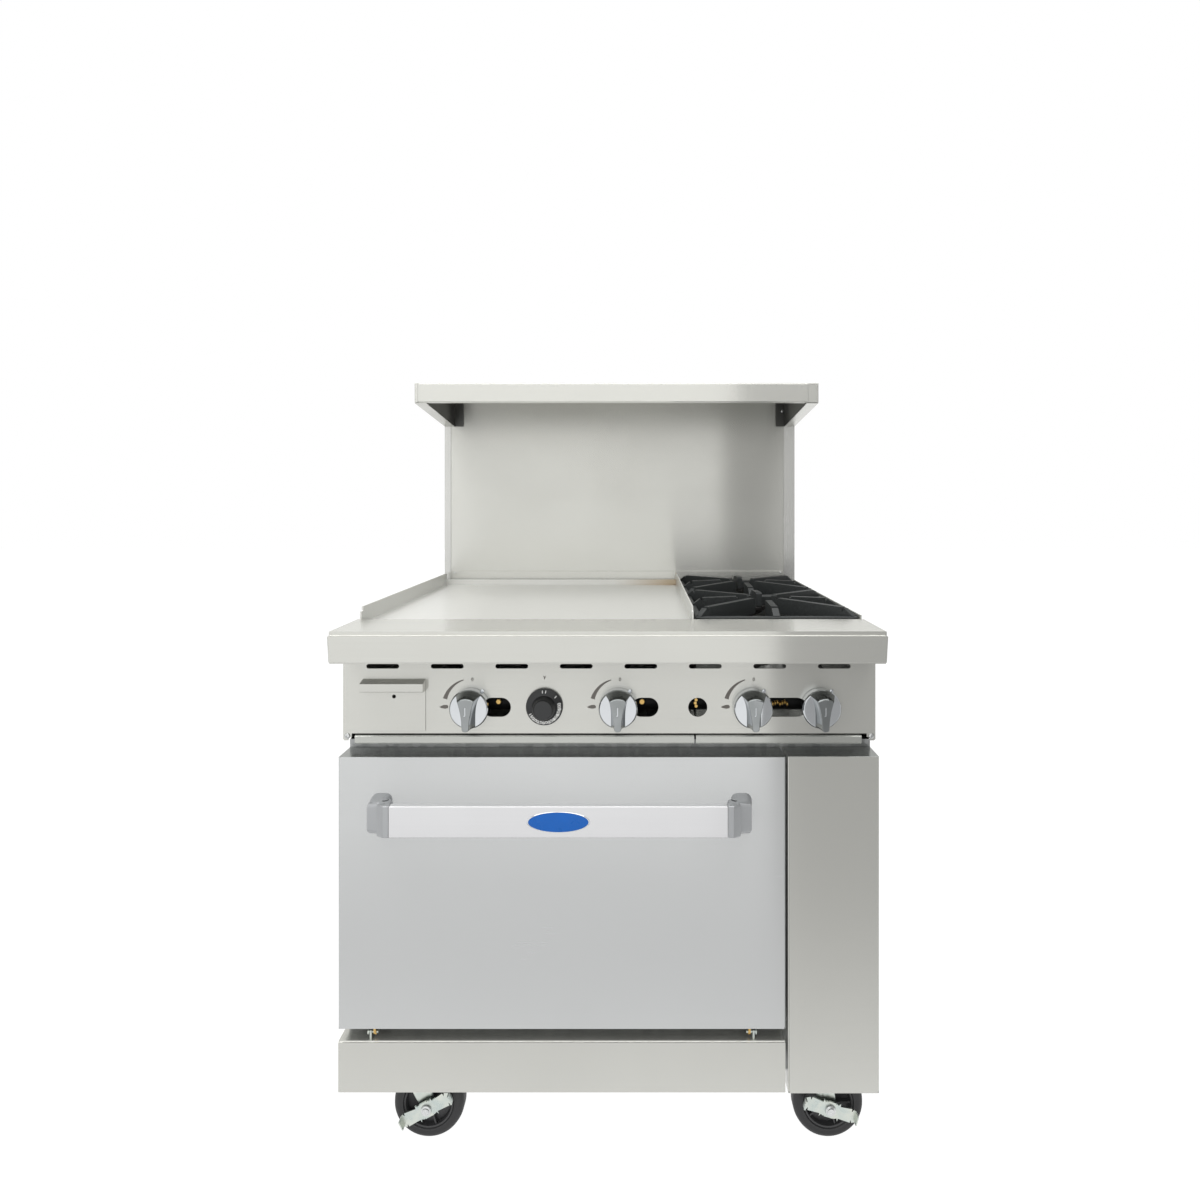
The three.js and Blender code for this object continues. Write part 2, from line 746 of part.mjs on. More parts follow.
// Each bracket has an upright web, a sloping flange turned outwards and a foot turned inwards
function addShelfBrackets() {
  const low = overallHeight - shelf.lip - gap;
  const front = shelf.front + 3;
  const back = backguardDepth - gap;
  const top = overallHeight - 6;
  const web = outline([
    [front + 14, low - sheet - bracket.drop * (14 / (back - front))],
    [back, low - sheet - bracket.drop],
    [back, top],
    [front + 14, top],
  ]);
  const flange = outline([
    [front, low - sheet],
    [back, low - sheet - bracket.drop],
    [back, low - bracket.drop],
    [front, low],
  ]);
  for (const [name, sign] of [["shelf_bracket_left", -1], ["shelf_bracket_right", 1]]) {
    const span = (outer, inner) => [sign * outer, sign * inner].sort((a, b) => a - b);
    const foot = box(
      span(bracket.web, bracket.web - bracket.foot),
      [back - sheet, back],
      [low - bracket.drop, top],
    );
    const parts = [
      alongX(web, ...span(bracket.web, bracket.web - sheet)),
      alongX(flange, ...span(side, bracket.web - sheet)),
      foot,
    ];
    place(name, join(...parts), stainless);
  }
}

// Casters: fork swivels under the base plate, wheel turns on the fork's axle
function forkGeometry() {
  const top = undersideHeight - 6.5;
  const crown = 128;
  const half = forkInner / 2;
  const leg = outline([
    [-26, crown + 4], [26, crown + 4], [caster.trail + 11, caster.radius - 4],
    [caster.trail + 4, caster.radius - 11], [caster.trail - 7, caster.radius - 9],
  ]);
  return join(
    rodZ(26, 0, 0, crown + 3, top, 20),
    box([-26, 26], [-half - 3, half + 3], [crown, crown + 4]),
    alongY(leg, -half - 3, -half),
    alongY(leg, half, half + 3),
    rodY(6, caster.trail, caster.radius, -half - 6, half + 6, 12),
  );
}

function wheelGeometry() {
  const sides = 24;
  const rim = caster.radius / Math.cos(Math.PI / sides);
  const half = caster.width / 2;
  const profile = [
    [6.6, -half], [rim - 6, -half], [rim, -half + 7], [rim, half - 7], [rim - 6, half], [6.6, half], [6.6, -half],
  ];
  return join(turned(profile, sides).rotateY(Math.PI / sides));
}

function leverGeometry() {
  const wing = outline([
    [-13, -9], [-30, -7], [-50, -3], [-50, 4], [-30, 9], [-12, 13],
    [12, 13], [30, 7], [50, 3], [50, -4], [30, -9], [12, -11],
  ]);
  const front = -forkInner / 2 - 10;
  const plate = alongY(wing, front, front + 2.5);
  const tabs = [-1, 1].map((sign) => box(
    [sign * 49 - 1, sign * 49 + 1], [front - 9, front + 2], [-3, 3],
  ));
  return join(plate, rodY(9, 0, 0, front - 5, front + 1, 12), ...tabs);
}

function addCasters() {
  const fork = forkGeometry();
  const wheel = wheelGeometry();
  const lever = leverGeometry();
  for (const [row, y] of [["front", caster.frontY], ["rear", caster.rearY]]) {
    for (const [hand, x] of [["left", -caster.pivotX], ["right", caster.pivotX]]) {
      const axleX = x + caster.trail;
      place(`${row}_${hand}_caster_fork`, fork.clone(), zinc, x, y);
      place(`${row}_${hand}_caster_wheel`, wheel.clone(), blackRubber, axleX, y, caster.radius);
      if (row === "front") {
        const brake = place(`${hand}_brake_lever`, lever.clone(), zinc, axleX, y, caster.radius);
        brake.rotation.y = -THREE.MathUtils.degToRad(leverTilt[hand]);
      }
    }
  }
}

addBaseFrame();
addSidePanels();
addRearPanel();
addKickPlate();
addServicePanel();
addOvenFrontFrame();
addServiceDivider();
addOvenLiner();
addOvenBurner();
addOvenRack();
addDoor();
addHandle();
addControlPanel();
addFrontLedge();
addGreaseDrawer();
addCrumbTrays();
addKnobs();
addDial();
addManifold();
addValves();
addThermostat();
addGriddle();
addGriddleSplash();
addGreaseTrough();
addGriddleBurners();
addOpenBurners();
addBurnerBox();
addGrates();
addBackguard();
addShelf();
addShelfBrackets();
addCasters();

export default range;
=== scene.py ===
import math

import bmesh
import bpy
from mathutils import Matrix, Vector


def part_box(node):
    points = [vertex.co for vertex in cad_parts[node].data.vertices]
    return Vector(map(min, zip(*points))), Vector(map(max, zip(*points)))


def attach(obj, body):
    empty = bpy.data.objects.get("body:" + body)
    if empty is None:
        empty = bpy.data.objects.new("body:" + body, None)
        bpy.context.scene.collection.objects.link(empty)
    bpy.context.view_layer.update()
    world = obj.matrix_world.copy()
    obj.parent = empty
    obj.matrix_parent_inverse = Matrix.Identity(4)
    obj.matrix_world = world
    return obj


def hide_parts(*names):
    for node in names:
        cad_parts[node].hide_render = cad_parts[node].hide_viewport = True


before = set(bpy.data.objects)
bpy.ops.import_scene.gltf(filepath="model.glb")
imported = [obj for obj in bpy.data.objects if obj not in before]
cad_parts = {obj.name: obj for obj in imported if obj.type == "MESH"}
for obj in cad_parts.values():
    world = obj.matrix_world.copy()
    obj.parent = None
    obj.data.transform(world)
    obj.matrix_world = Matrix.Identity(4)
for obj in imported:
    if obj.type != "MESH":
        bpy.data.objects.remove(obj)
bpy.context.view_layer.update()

# Commercial gas range: detailed pieces, materials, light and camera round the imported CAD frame.
# Mesh code works in millimetres: x across, d behind the front edge of the landing ledge, z above
# the floor. make() puts each mesh in the frame, in metres.
MM = 0.001
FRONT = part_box("front_ledge")[0].y
TO_FRAME = Matrix.Translation((0, FRONT, 0)) @ Matrix.Scale(MM, 4)
SHEET = 1.5


def node_box(node):
    """A CAD node's lowest and highest corners as (x, d, z) in millimetres."""
    return [(corner - Vector((0, FRONT, 0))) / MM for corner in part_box(node)]


# Camera
def add_camera():
    data = bpy.data.cameras.new("camera")
    data.sensor_width = 36
    data.lens = 21.29
    data.shift_x = -0.0329
    data.shift_y = -0.0858
    camera = bpy.data.objects.new("camera", data)
    camera.location = (0.0519, FRONT - 1.155, 1.160)
    camera.rotation_euler = (math.radians(90), 0, 0)
    bpy.context.scene.collection.objects.link(camera)
    bpy.context.scene.camera = camera


add_camera()


# Materials
class Finish:
    """A Principled material and short names for the nodes that drive it."""

    def __init__(self, name, colour, roughness, metallic=0.0, **sockets):
        self.material = bpy.data.materials.new(name)
        self.material.use_nodes = True
        self.tree = self.material.node_tree
        self.shader = self.tree.nodes["Principled BSDF"]
        self.colour = (*colour, 1)
        self.roughness = roughness
        self.set("Base Color", self.colour)
        self.set("Roughness", roughness)
        self.set("Metallic", metallic)
        for socket, value in sockets.items():
            self.set(socket.replace("_", " ").title().replace("Ior", "IOR"), value)

    def set(self, socket, value):
        self.shader.inputs[socket].default_value = value

    def node(self, kind, inputs=(), **settings):
        node = self.tree.nodes.new("ShaderNode" + kind)
        for key, value in settings.items():
            setattr(node, key, value)
        for key, value in dict(inputs).items():
            if isinstance(value, bpy.types.NodeSocket):
                self.tree.links.new(value, node.inputs[key])
            else:
                node.inputs[key].default_value = value
        return node

    def drive(self, socket, output):
        self.tree.links.new(output, self.shader.inputs[socket])

    def noise(self, scale, detail=2.0, distortion=0.0):
        """Noise in the piece's own coordinates; scale is cycles per metre along x, y and z."""
        place = self.node("TexCoord").outputs["Object"]
        mapping = self.node("Mapping", {"Vector": place, "Scale": scale})
        inputs = {
            "Vector": mapping.outputs["Vector"],
            "Scale": 1.0,
            "Detail": detail,
            "Distortion": distortion,
        }
        return self.node("TexNoise", inputs).outputs["Fac"]

    def spread(self, factor, low, high, start=0.3, end=0.7):
        """factor from start to end becomes a number from low to high."""
        inputs = {
            "Value": factor,
            "From Min": start,
            "From Max": end,
            "To Min": low,
            "To Max": high,
        }
        return self.node("MapRange", inputs).outputs["Result"]

    def tint(self, factor, colour, other, start=0.3, end=0.7):
        """A colour between two, as factor goes from start to end."""
        ramp = self.node("ValToRGB", {"Fac": factor})
        ramp.color_ramp.elements[0].position = start
        ramp.color_ramp.elements[0].color = (*colour, 1)
        ramp.color_ramp.elements[1].position = end
        ramp.color_ramp.elements[1].color = (*other, 1)
        return ramp.outputs["Color"]

    def add(self, first, second):
        node = self.node("Math", {0: first, 1: second}, operation="ADD")
        return node.outputs["Value"]

    def bump(self, height, distance, strength=1.0):
        inputs = {"Height": height, "Distance": distance, "Strength": strength}
        self.drive("Normal", self.node("Bump", inputs).outputs["Normal"])


def scaled(colour, factor):
    return tuple(channel * factor for channel in colour)


GRAIN = {
    "x": ((4, 900, 900), (0, 0.3, 1)),
    "y": ((900, 4, 900), (0.3, 0, 1)),
    "z": ((900, 900, 4), (1, 0.3, 0)),
}
BRUSHED_METAL = 0.75  # the rest of the light is scattered by the scratches like a matt surface


def brushed(name, colour, roughness, grain="x", anisotropy=0.97, wear=0.03):
    """Rolled sheet with fine lines along one axis, faint clouds and rubbed patches."""
    finish = Finish(name, colour, roughness, BRUSHED_METAL, anisotropic=anisotropy)
    scale, across = GRAIN[grain]
    lines = finish.noise(scale, 3)
    clouds = finish.noise((3.1, 3.7, 2.9), 4, 0.6)
    dark, light = scaled(colour, 1 - wear), scaled(colour, 1 + wear * 0.6)
    blend = finish.add(finish.spread(lines, 0.0, 0.35), finish.spread(clouds, 0.0, 0.65))
    finish.drive("Base Color", finish.tint(blend, dark, light, 0.1, 0.9))
    finish.drive("Roughness", finish.spread(blend, roughness + 0.03, roughness - 0.03, 0.1, 0.9))
    finish.bump(lines, 0.00001, 0.5)
    vector = finish.node("CombineXYZ", {"X": across[0], "Y": across[1], "Z": across[2]})
    finish.drive("Tangent", vector.outputs["Vector"])
    return finish.material


def griddle_steel():
    """Ground plate: short scratches, and a straw heat tint in its rear right corner."""
    finish = Finish("griddle_steel", (0.66, 0.66, 0.635), 0.36, 0.6, anisotropic=0.6)
    scratches = finish.noise((30, 700, 700), 4, 0.4)
    clouds = finish.noise((5, 6, 4), 5, 1.0)
    place = finish.node("TexCoord").outputs["Object"]
    split = finish.node("SeparateXYZ", {"Vector": place})
    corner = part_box("griddle_plate")[1]
    wavy = finish.add(split.outputs["Y"], finish.spread(clouds, -0.005, 0.005))
    near_back = finish.spread(wavy, 0.0, 0.45, corner.y - 0.012, corner.y)
    near_right = finish.spread(split.outputs["X"], 0.1, 1.0, corner.x - 0.16, corner.x - 0.02)
    heat = finish.node("Math", {0: near_back, 1: near_right}, operation="MULTIPLY")
    clean = finish.node("Math", {0: 0.5, 1: heat.outputs["Value"]}, operation="SUBTRACT")
    tone = finish.add(clean.outputs["Value"], finish.spread(clouds, -0.04, 0.04))
    finish.drive("Base Color", finish.tint(tone, (0.42, 0.33, 0.22), (0.66, 0.66, 0.635), 0, 0.46))
    finish.drive("Roughness", finish.spread(scratches, 0.32, 0.42))
    finish.bump(scratches, 0.00001, 0.5)
    vector = finish.node("CombineXYZ", {"X": 0.0, "Y": 0.3, "Z": 1.0})
    finish.drive("Tangent", vector.outputs["Vector"])
    return finish.material


def speckled(name, colour, other, roughness, scale, metallic=0.0, bump=0.0, **sockets):
    """Two tones and a roughness that vary over grains; scale is grains per metre."""
    finish = Finish(name, colour, roughness, metallic, **sockets)
    grains = finish.noise((scale, scale, scale), 4, 0.3)
    finish.drive("Base Color", finish.tint(grains, colour, other))
    finish.drive("Roughness", finish.spread(grains, roughness * 0.85, roughness * 1.15))
    if bump:
        finish.bump(grains, bump)
    return finish.material


def galvanised():
    """Hot-dip zinc: crystal spangle, each grain with its own tone."""
    finish = Finish("galvanised", (0.42, 0.43, 0.43), 0.4, 1.0)
    place = finish.node("TexCoord").outputs["Object"]
    cells = finish.node("TexVoronoi", {"Vector": place, "Scale": 90.0})
    grey = finish.node("RGBToBW", {"Color": cells.outputs["Color"]}).outputs["Val"]
    finish.drive("Base Color", finish.tint(grey, (0.34, 0.35, 0.35), (0.50, 0.51, 0.51), 0.2, 0.8))
    finish.drive("Roughness", finish.spread(grey, 0.3, 0.5, 0.2, 0.8))
    return finish.material


STEEL = (0.60, 0.60, 0.565)
MATERIALS = {
    "stainless": brushed("stainless", STEEL, 0.23),
    "side_steel": brushed("side_steel", STEEL, 0.23, "y"),
    "post_steel": brushed("post_steel", (0.62, 0.62, 0.60), 0.25, "z"),
    "door_steel": brushed("door_steel", (0.60, 0.61, 0.61), 0.25),
    # painted shade: near-black steel for the shelf bracket webs and feet and the two dividers, standing in
    # for the shadow and dark reflection on them
    "shade_steel": brushed("shade_steel", (0.11, 0.11, 0.105), 0.3),
    # painted shade: darker steel on the top and bottom faces of the door and service panel, standing in
    # for the dark reflection on them
    "edge_steel": brushed("edge_steel", (0.30, 0.31, 0.30), 0.16),
    "griddle_steel": griddle_steel(),
    "galvanised": galvanised(),
    "tray_steel": brushed("tray_steel", (0.50, 0.51, 0.48), 0.22),
    "oven_enamel": speckled(
        "oven_enamel", (0.03, 0.04, 0.06), (0.10, 0.11, 0.13), 0.3, 500, coat_weight=0.6
    ),
    "cast_iron": speckled(
        "cast_iron", (0.010, 0.012, 0.012), (0.030, 0.034, 0.034), 0.55, 420, bump=0.0003
    ),
    "burner_iron": speckled(
        "burner_iron", (0.012, 0.012, 0.012), (0.035, 0.03, 0.028), 0.7, 350, bump=0.0003
    ),
    "aluminium": brushed("aluminium", (0.72, 0.72, 0.73), 0.36, "x", 0.4, 0.02),
    "cap_grey": speckled(
        "cap_grey", (0.40, 0.41, 0.42), (0.44, 0.45, 0.46), 0.4, 900, 0.7, 0.00002
    ),
    "chrome": speckled("chrome", (0.60, 0.62, 0.64), (0.64, 0.66, 0.68), 0.06, 30, 1.0),
    # painted shade: a darker copy of the knob chrome for the grip, standing in for the dark reflections on
    # it
    "grip_chrome": speckled("grip_chrome", (0.27, 0.285, 0.285), (0.33, 0.345, 0.35), 0.09, 30, 1.0),
    "brass": speckled("brass", (0.60, 0.38, 0.12), (0.70, 0.48, 0.18), 0.3, 200, 1.0),
    "zinc": speckled("zinc", (0.50, 0.56, 0.54), (0.66, 0.68, 0.62), 0.3, 60, 1.0),
    "screw_steel": speckled(
        "screw_steel", (0.55, 0.56, 0.56), (0.68, 0.69, 0.69), 0.25, 400, 1.0
    ),
    # black iron pipe's own dark colour, made darker still as painted shade so the manifold reads dark
    # through the lighting ports
    "black_pipe": speckled(
        "black_pipe", (0.006, 0.006, 0.006), (0.012, 0.012, 0.012), 0.5, 300,
        bump=0.0001, specular_ior_level=0.15
    ),
    "black_plastic": speckled(
        "black_plastic", (0.014, 0.015, 0.016), (0.022, 0.023, 0.024), 0.32, 800, bump=0.00003
    ),
    "tyre_rubber": speckled(
        "tyre_rubber", (0.010, 0.010, 0.011), (0.024, 0.024, 0.025), 0.55, 600, bump=0.00006
    ),
    "hub_plastic": speckled(
        "hub_plastic", (0.03, 0.03, 0.032), (0.05, 0.05, 0.052), 0.5, 700, bump=0.00004
    ),
    "badge_blue": speckled(
        "badge_blue", (0.004, 0.11, 0.45), (0.005, 0.12, 0.49), 0.3, 40, specular_ior_level=0.3
    ),
    "white_print": speckled("white_print", (0.84, 0.84, 0.82), (0.9, 0.9, 0.88), 0.5, 900),
    "panel_ink": speckled("panel_ink", (0.13, 0.12, 0.105), (0.17, 0.155, 0.14), 0.5, 900),
    # painted shade: near-black marks for the dark inside of each burner port
    "black_ink": speckled("black_ink", (0.02, 0.02, 0.02), (0.03, 0.03, 0.03), 0.5, 900),
}


# Mesh builders. Each returns a bmesh in millimetres.
def raw(points, faces):
    shape = bmesh.new()
    verts = [shape.verts.new(point) for point in points]
    for face in faces:
        shape.faces.new([verts[index] for index in face])
    bmesh.ops.recalc_face_normals(shape, faces=shape.faces)
    return shape


def rounded(shape, radius, segments=2, angle=30):
    limit = math.radians(angle)
    sharp = [
        edge
        for edge in shape.edges
        if len(edge.link_faces) == 2 and edge.calc_face_angle(0) > limit
    ]
    bmesh.ops.bevel(
        shape,
        geom=sharp,
        offset=radius,
        segments=segments,
        profile=0.5,
        affect="EDGES",
        clamp_overlap=True,
    )
    return shape


def prism(points, axis, span, radius=0.4, segments=2, angle=30):
    """Points in the plane across axis (x: (d, z), d: (x, z), z: (x, d)), drawn out over span."""
    order = {
        "x": lambda a, b, t: (t, a, b),
        "d": lambda a, b, t: (a, t, b),
        "z": lambda a, b, t: (a, b, t),
    }[axis]
    count = len(points)
    verts = [order(a, b, t) for t in span for a, b in points]
    faces = [list(range(count)), list(range(2 * count - 1, count - 1, -1))]
    faces += [[i, (i + 1) % count, (i + 1) % count + count, i + count] for i in range(count)]
    shape = raw(verts, faces)
    return rounded(shape, radius, segments, angle) if radius else shape


def rectangle(left, right, low, high):
    return [(left, low), (right, low), (right, high), (left, high)]


def block(x, d, z, radius=0.4, segments=2):
    return prism(rectangle(*x, *d), "z", z, radius, segments)


def node_block(node, radius=0.4):
    low, high = node_box(node)
    return block((low.x, high.x), (low.y, high.y), (low.z, high.z), radius)


def arc(centre, radius, start, end, steps=8):
    angles = [math.radians(start + (end - start) * i / steps) for i in range(steps + 1)]
    return [(centre[0] + radius * math.cos(a), centre[1] + radius * math.sin(a)) for a in angles]


def ring_angles(count):
    return [2 * math.pi * i / count for i in range(count)]


def filleted(points, radii, closed=False, steps=5):
    """The line through points with its corners rounded; radii is one number or one per point."""
    if not isinstance(radii, (list, tuple)):
        radii = [radii] * len(points)
    result = []
    count = len(points)
    for i, (point, radius) in enumerate(zip(points, radii)):
        if not radius or (not closed and i in (0, count - 1)):
            result.append(tuple(point))
            continue
        here = Vector(point)
        to_last = (Vector(points[i - 1]) - here).normalized()
        to_next = (Vector(points[(i + 1) % count]) - here).normalized()
        half = to_last.angle(to_next) / 2
        reach = radius / math.tan(half)
        start, end = here + to_last * reach, here + to_next * reach
        centre = here + (to_last + to_next).normalized() * (radius / math.sin(half))
        for step in range(steps + 1):
            share = step / steps
            spoke = (start - centre).slerp(end - centre, share) if share not in (0, 1) else None
            spot = centre + spoke if spoke else (start if share == 0 else end)
            result.append(tuple(spot))
    return result


def bent(points, thickness, radii=2.5, steps=5):
    """The closed outline of a sheet folded along points; its body is left of the line."""
    line = [Vector(p) for p in filleted([Vector(p) for p in points], radii, steps=steps)]
    inner = []
    for i, point in enumerate(line):
        before = line[max(i - 1, 0)]
        after = line[min(i + 1, len(line) - 1)]
        first = (point - before).normalized() if i else (after - point).normalized()
        second = (after - point).normalized() if i < len(line) - 1 else first
        normal = Vector((-(first.y + second.y), first.x + second.x)).normalized()
        cosine = max(normal.dot(Vector((-first.y, first.x))), 0.3)
        inner.append(point + normal * (thickness / cosine))
    return [tuple(p) for p in line] + [tuple(p) for p in reversed(inner)]


def pill(x, z, length, height, steps=8):
    radius = height / 2
    straight = length / 2 - radius
    right = arc((x + straight, z), radius, -90, 90, steps)
    left = arc((x - straight, z), radius, 90, 270, steps)
    return right + left if straight > 0 else right + left[1:-1]


def plate(loops, d, thickness=SHEET, edge=0.35):
    """A flat sheet facing the front at depth d: the first loop is its outline, the rest holes."""
    curve = bpy.data.curves.new("outline", "CURVE")
    curve.dimensions = "2D"
    curve.fill_mode = "BOTH"
    curve.extrude = thickness / 2 - edge
    curve.bevel_depth = edge
    curve.bevel_resolution = 1
    curve.offset = -edge
    for loop in loops:
        spline = curve.splines.new("POLY")
        spline.points.add(len(loop) - 1)
        for point, (x, z) in zip(spline.points, loop):
            point.co = (x, z, 0, 1)
        spline.use_cyclic_u = True
    holder = bpy.data.objects.new("outline", curve)
    mesh = bpy.data.meshes.new_from_object(holder)
    shape = bmesh.new()
    shape.from_mesh(mesh)
    bpy.data.objects.remove(holder)
    bpy.data.curves.remove(curve)
    bpy.data.meshes.remove(mesh)
    upright = Matrix.Translation((0, d + thickness / 2, 0)) @ Matrix.Rotation(math.pi / 2, 4, "X")
    bmesh.ops.transform(shape, matrix=upright, verts=shape.verts)
    bmesh.ops.remove_doubles(shape, verts=shape.verts, dist=0.001)
    bmesh.ops.recalc_face_normals(shape, faces=shape.faces)
    return shape


def lathe(profile, centre, axis="d", sides=48):
    """(radius, height) points turned round an axis through centre; height runs along it."""
    order = {
        "x": lambda u, v, t: (t, u, v),
        "d": lambda u, v, t: (u, t, v),
        "z": lambda u, v, t: (u, v, t),
    }[axis]
    verts = []
    for radius, height in profile:
        for i in range(sides):
            angle = 2 * math.pi * i / sides
            spot = order(radius * math.cos(angle), radius * math.sin(angle), height)
            verts.append(Vector(centre) + Vector(spot))
    faces = []
    for k in range(len(profile) - 1):
        for i in range(sides):
            j = (i + 1) % sides
            faces.append([k * sides + i, k * sides + j, (k + 1) * sides + j, (k + 1) * sides + i])
    shape = bmesh.new()
    made = [shape.verts.new(v) for v in verts]
    for face in faces:
        shape.faces.new([made[i] for i in face])
    bmesh.ops.remove_doubles(shape, verts=shape.verts, dist=0.0001)
    holes = [edge for edge in shape.edges if edge.is_boundary]
    if holes:
        bmesh.ops.holes_fill(shape, edges=holes)
    bmesh.ops.recalc_face_normals(shape, faces=shape.faces)
    return shape


def loft(rings):
    """A closed solid through rings that have the same number of points."""
    count = len(rings[0])
    verts = [point for ring in rings for point in ring]
    faces = [list(range(count))]
    faces.append(list(range(len(verts) - 1, len(verts) - count - 1, -1)))
    for k in range(len(rings) - 1):
        for i in range(count):
            j = (i + 1) % count
            faces.append([k * count + i, k * count + j, (k + 1) * count + j, (k + 1) * count + i])
    return raw(verts, faces)


def tube(path, radius, sides=12, closed=False):
    """A round bar along a path of 3-D points."""
    path = [Vector(point) for point in path]
    count = len(path)
    rings = []
    side = None
    for i, point in enumerate(path):
        before = path[i - 1] if (closed or i) else point
        after = path[(i + 1) % count] if (closed or i < count - 1) else point
        ahead = (after - before).normalized()
        if side is None:
            side = ahead.orthogonal().normalized()
        side = (side - ahead * side.dot(ahead)).normalized()
        other = ahead.cross(side)
        angles = [2 * math.pi * k / sides for k in range(sides)]
        rings.append([point + (side * math.cos(a) + other * math.sin(a)) * radius for a in angles])
    if not closed:
        return loft(rings)
    verts = [point for ring in rings for point in ring]
    faces = []
    for k in range(count):
        for i in range(sides):
            j = (i + 1) % sides
            m = (k + 1) % count
            faces.append([k * sides + i, k * sides + j, m * sides + j, m * sides + i])
    return raw(verts, faces)


def merged(*shapes):
    whole = bmesh.new()
    for shape in shapes:
        mesh = bpy.data.meshes.new("part")
        shape.to_mesh(mesh)
        shape.free()
        whole.from_mesh(mesh)
        bpy.data.meshes.remove(mesh)
    return whole


def painted(shape, index):
    for face in shape.faces:
        face.material_index = index
    return shape


def moved(shape, x=0, d=0, z=0, turn=None):
    """shape turned by a matrix about the origin, then shifted."""
    if turn is not None:
        bmesh.ops.transform(shape, matrix=turn.to_4x4(), verts=shape.verts)
    bmesh.ops.translate(shape, vec=(x, d, z), verts=shape.verts)
    return shape


def screw(x, d, z, radius=3.5, facing="d", sign=-1):
    """A pan-head screw with a small socket, standing on a face that looks along -d by default."""
    height = radius * 0.55
    profile = [
        (0, -0.4), (radius, -0.4), (radius, height * 0.25), (radius * 0.86, height * 0.7),
        (radius * 0.5, height), (radius * 0.34, height), (radius * 0.28, height * 0.45),
        (0, height * 0.4),
    ]
    return lathe([(r, sign * t) for r, t in profile], (x, d, z), facing, 16)


def smooth(mesh, angle):
    mesh.polygons.foreach_set("use_smooth", [True] * len(mesh.polygons))
    mesh.set_sharp_from_angle(angle=math.radians(angle))


def make(name, shape, body, slot, *materials, replaces=(), angle=32):
    """A finished piece of the range: smoothed, in the frame, on its body, with its materials."""
    mesh = bpy.data.meshes.new(name)
    shape.to_mesh(mesh)
    shape.free()
    mesh.transform(TO_FRAME)
    for material in materials:
        mesh.materials.append(MATERIALS[material])
    smooth(mesh, angle)
    piece = bpy.data.objects.new(name, mesh)
    bpy.context.scene.collection.objects.link(piece)
    piece.modifiers.new("flat_faces", "WEIGHTED_NORMAL").keep_sharp = True
    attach(piece, body)
    if replaces:
        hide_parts(*replaces)
    return piece


# High shelf and backguard
def add_shelf():
    low, high = node_box("shelf")
    left_seam, right_seam = low.x + 8, high.x - 24
    lip = bent(
        [(low.y + 14, low.z), (low.y, low.z), (low.y, high.z), (high.y, high.z), (high.y, low.z)],
        -SHEET,
    )
    body = prism(lip, "x", (left_seam, right_seam), 0.3, 1, 50)
    ends = []
    for outer, inner in ((low.x, left_seam - 0.5), (high.x, right_seam + 0.5)):
        inward = SHEET if outer < inner else -SHEET
        wrap = bent([(inner, low.y), (outer, low.y), (outer, high.y)], -inward, 2)
        ends.append(prism(wrap, "z", (low.z, high.z - 1.2), 0.3, 1, 50))
        top = (min(outer, inner), max(outer, inner))
        ends.append(block(top, (low.y + 1, high.y - 0.5), (high.z - SHEET, high.z), 0.6))
    make("high_shelf", merged(body, *ends), "range", "stainless", "stainless", replaces=["shelf"])


BRACKET_WEB = 432
BRACKET_DROP = 28


def add_shelf_brackets():
    """Under each end of the shelf: an upright web, a sloping flange outside it and a foot."""
    for node, sign in (("shelf_bracket_left", -1), ("shelf_bracket_right", 1)):
        low, high = node_box(node)
        foot_edge, side_edge = (high.x, low.x) if sign < 0 else (low.x, high.x)
        under = low.z + SHEET + BRACKET_DROP
        start = low.y + 14
        slope = BRACKET_DROP / (high.y - low.y)
        web = [
            (start, under - SHEET - slope * (start - low.y)), (high.y, low.z),
            (high.y, high.z), (start, high.z),
        ]
        flange = [
            (low.y, under - SHEET), (high.y, low.z), (high.y, low.z + SHEET), (low.y, under)
        ]
        web_face = sign * BRACKET_WEB
        web_span = sorted((web_face, web_face - sign * SHEET))
        # the web and foot take material 1, the near-black painted shade steel; the flange keeps bare steel
        parts = [
            painted(prism(web, "x", web_span, 0.3, 1), 1),
            prism(flange, "x", sorted((side_edge, web_face - sign * SHEET)), 0.3, 1),
            painted(
                block(sorted((web_face, foot_edge)), (high.y - SHEET, high.y), (low.z, high.z)), 1
            ),
        ]
        make(
            node + "_folded", merged(*parts), "range", "stainless", "side_steel", "shade_steel",
            replaces=[node],
        )


def add_backguard_trim():
    low, high = node_box("backguard_panel")
    screws = []
    for x in (-434, 424):
        screws.append(screw(x, 697.6, 1384, 3.5))
    for x in (low.x + 24, high.x - 34):
        screws.append(screw(x, low.y, 963, 2.5))
    make("backguard_screws", merged(*screws), "range", "stainless", "screw_steel")


# Landing ledge
LEDGE_END = 9
LEDGE_DRAFT = 2.5


def ledge_end(low, high, sign):
    """One closed end: it follows the fold, rounds over at its rim and draws in downwards."""
    outer = high.x if sign > 0 else low.x
    contour = filleted(
        rectangle(low.y, high.y, low.z, high.z), [2.5, 0, 3, 7], closed=True
    )
    middle = Vector(((low.y + high.y) / 2, (low.z + high.z) / 2))
    half = Vector(((high.y - low.y) / 2, (high.z - low.z) / 2))
    rings = []
    for inset, shrink in ((LEDGE_END, 0), (2.2, 0), (1.0, 0.15), (0.3, 0.45), (0, 0.9)):
        ring = []
        for d, z in contour:
            spot = Vector((d, z)) - middle
            spot = Vector((spot.x * (1 - shrink / half.x), spot.y * (1 - shrink / half.y)))
            draw_in = LEDGE_DRAFT * ((high.z - z) / (high.z - low.z)) ** 2 * (1 - inset / LEDGE_END)
            ring.append((outer - sign * (inset + draw_in), *(middle + spot)))
        rings.append(ring)
    return loft(rings)


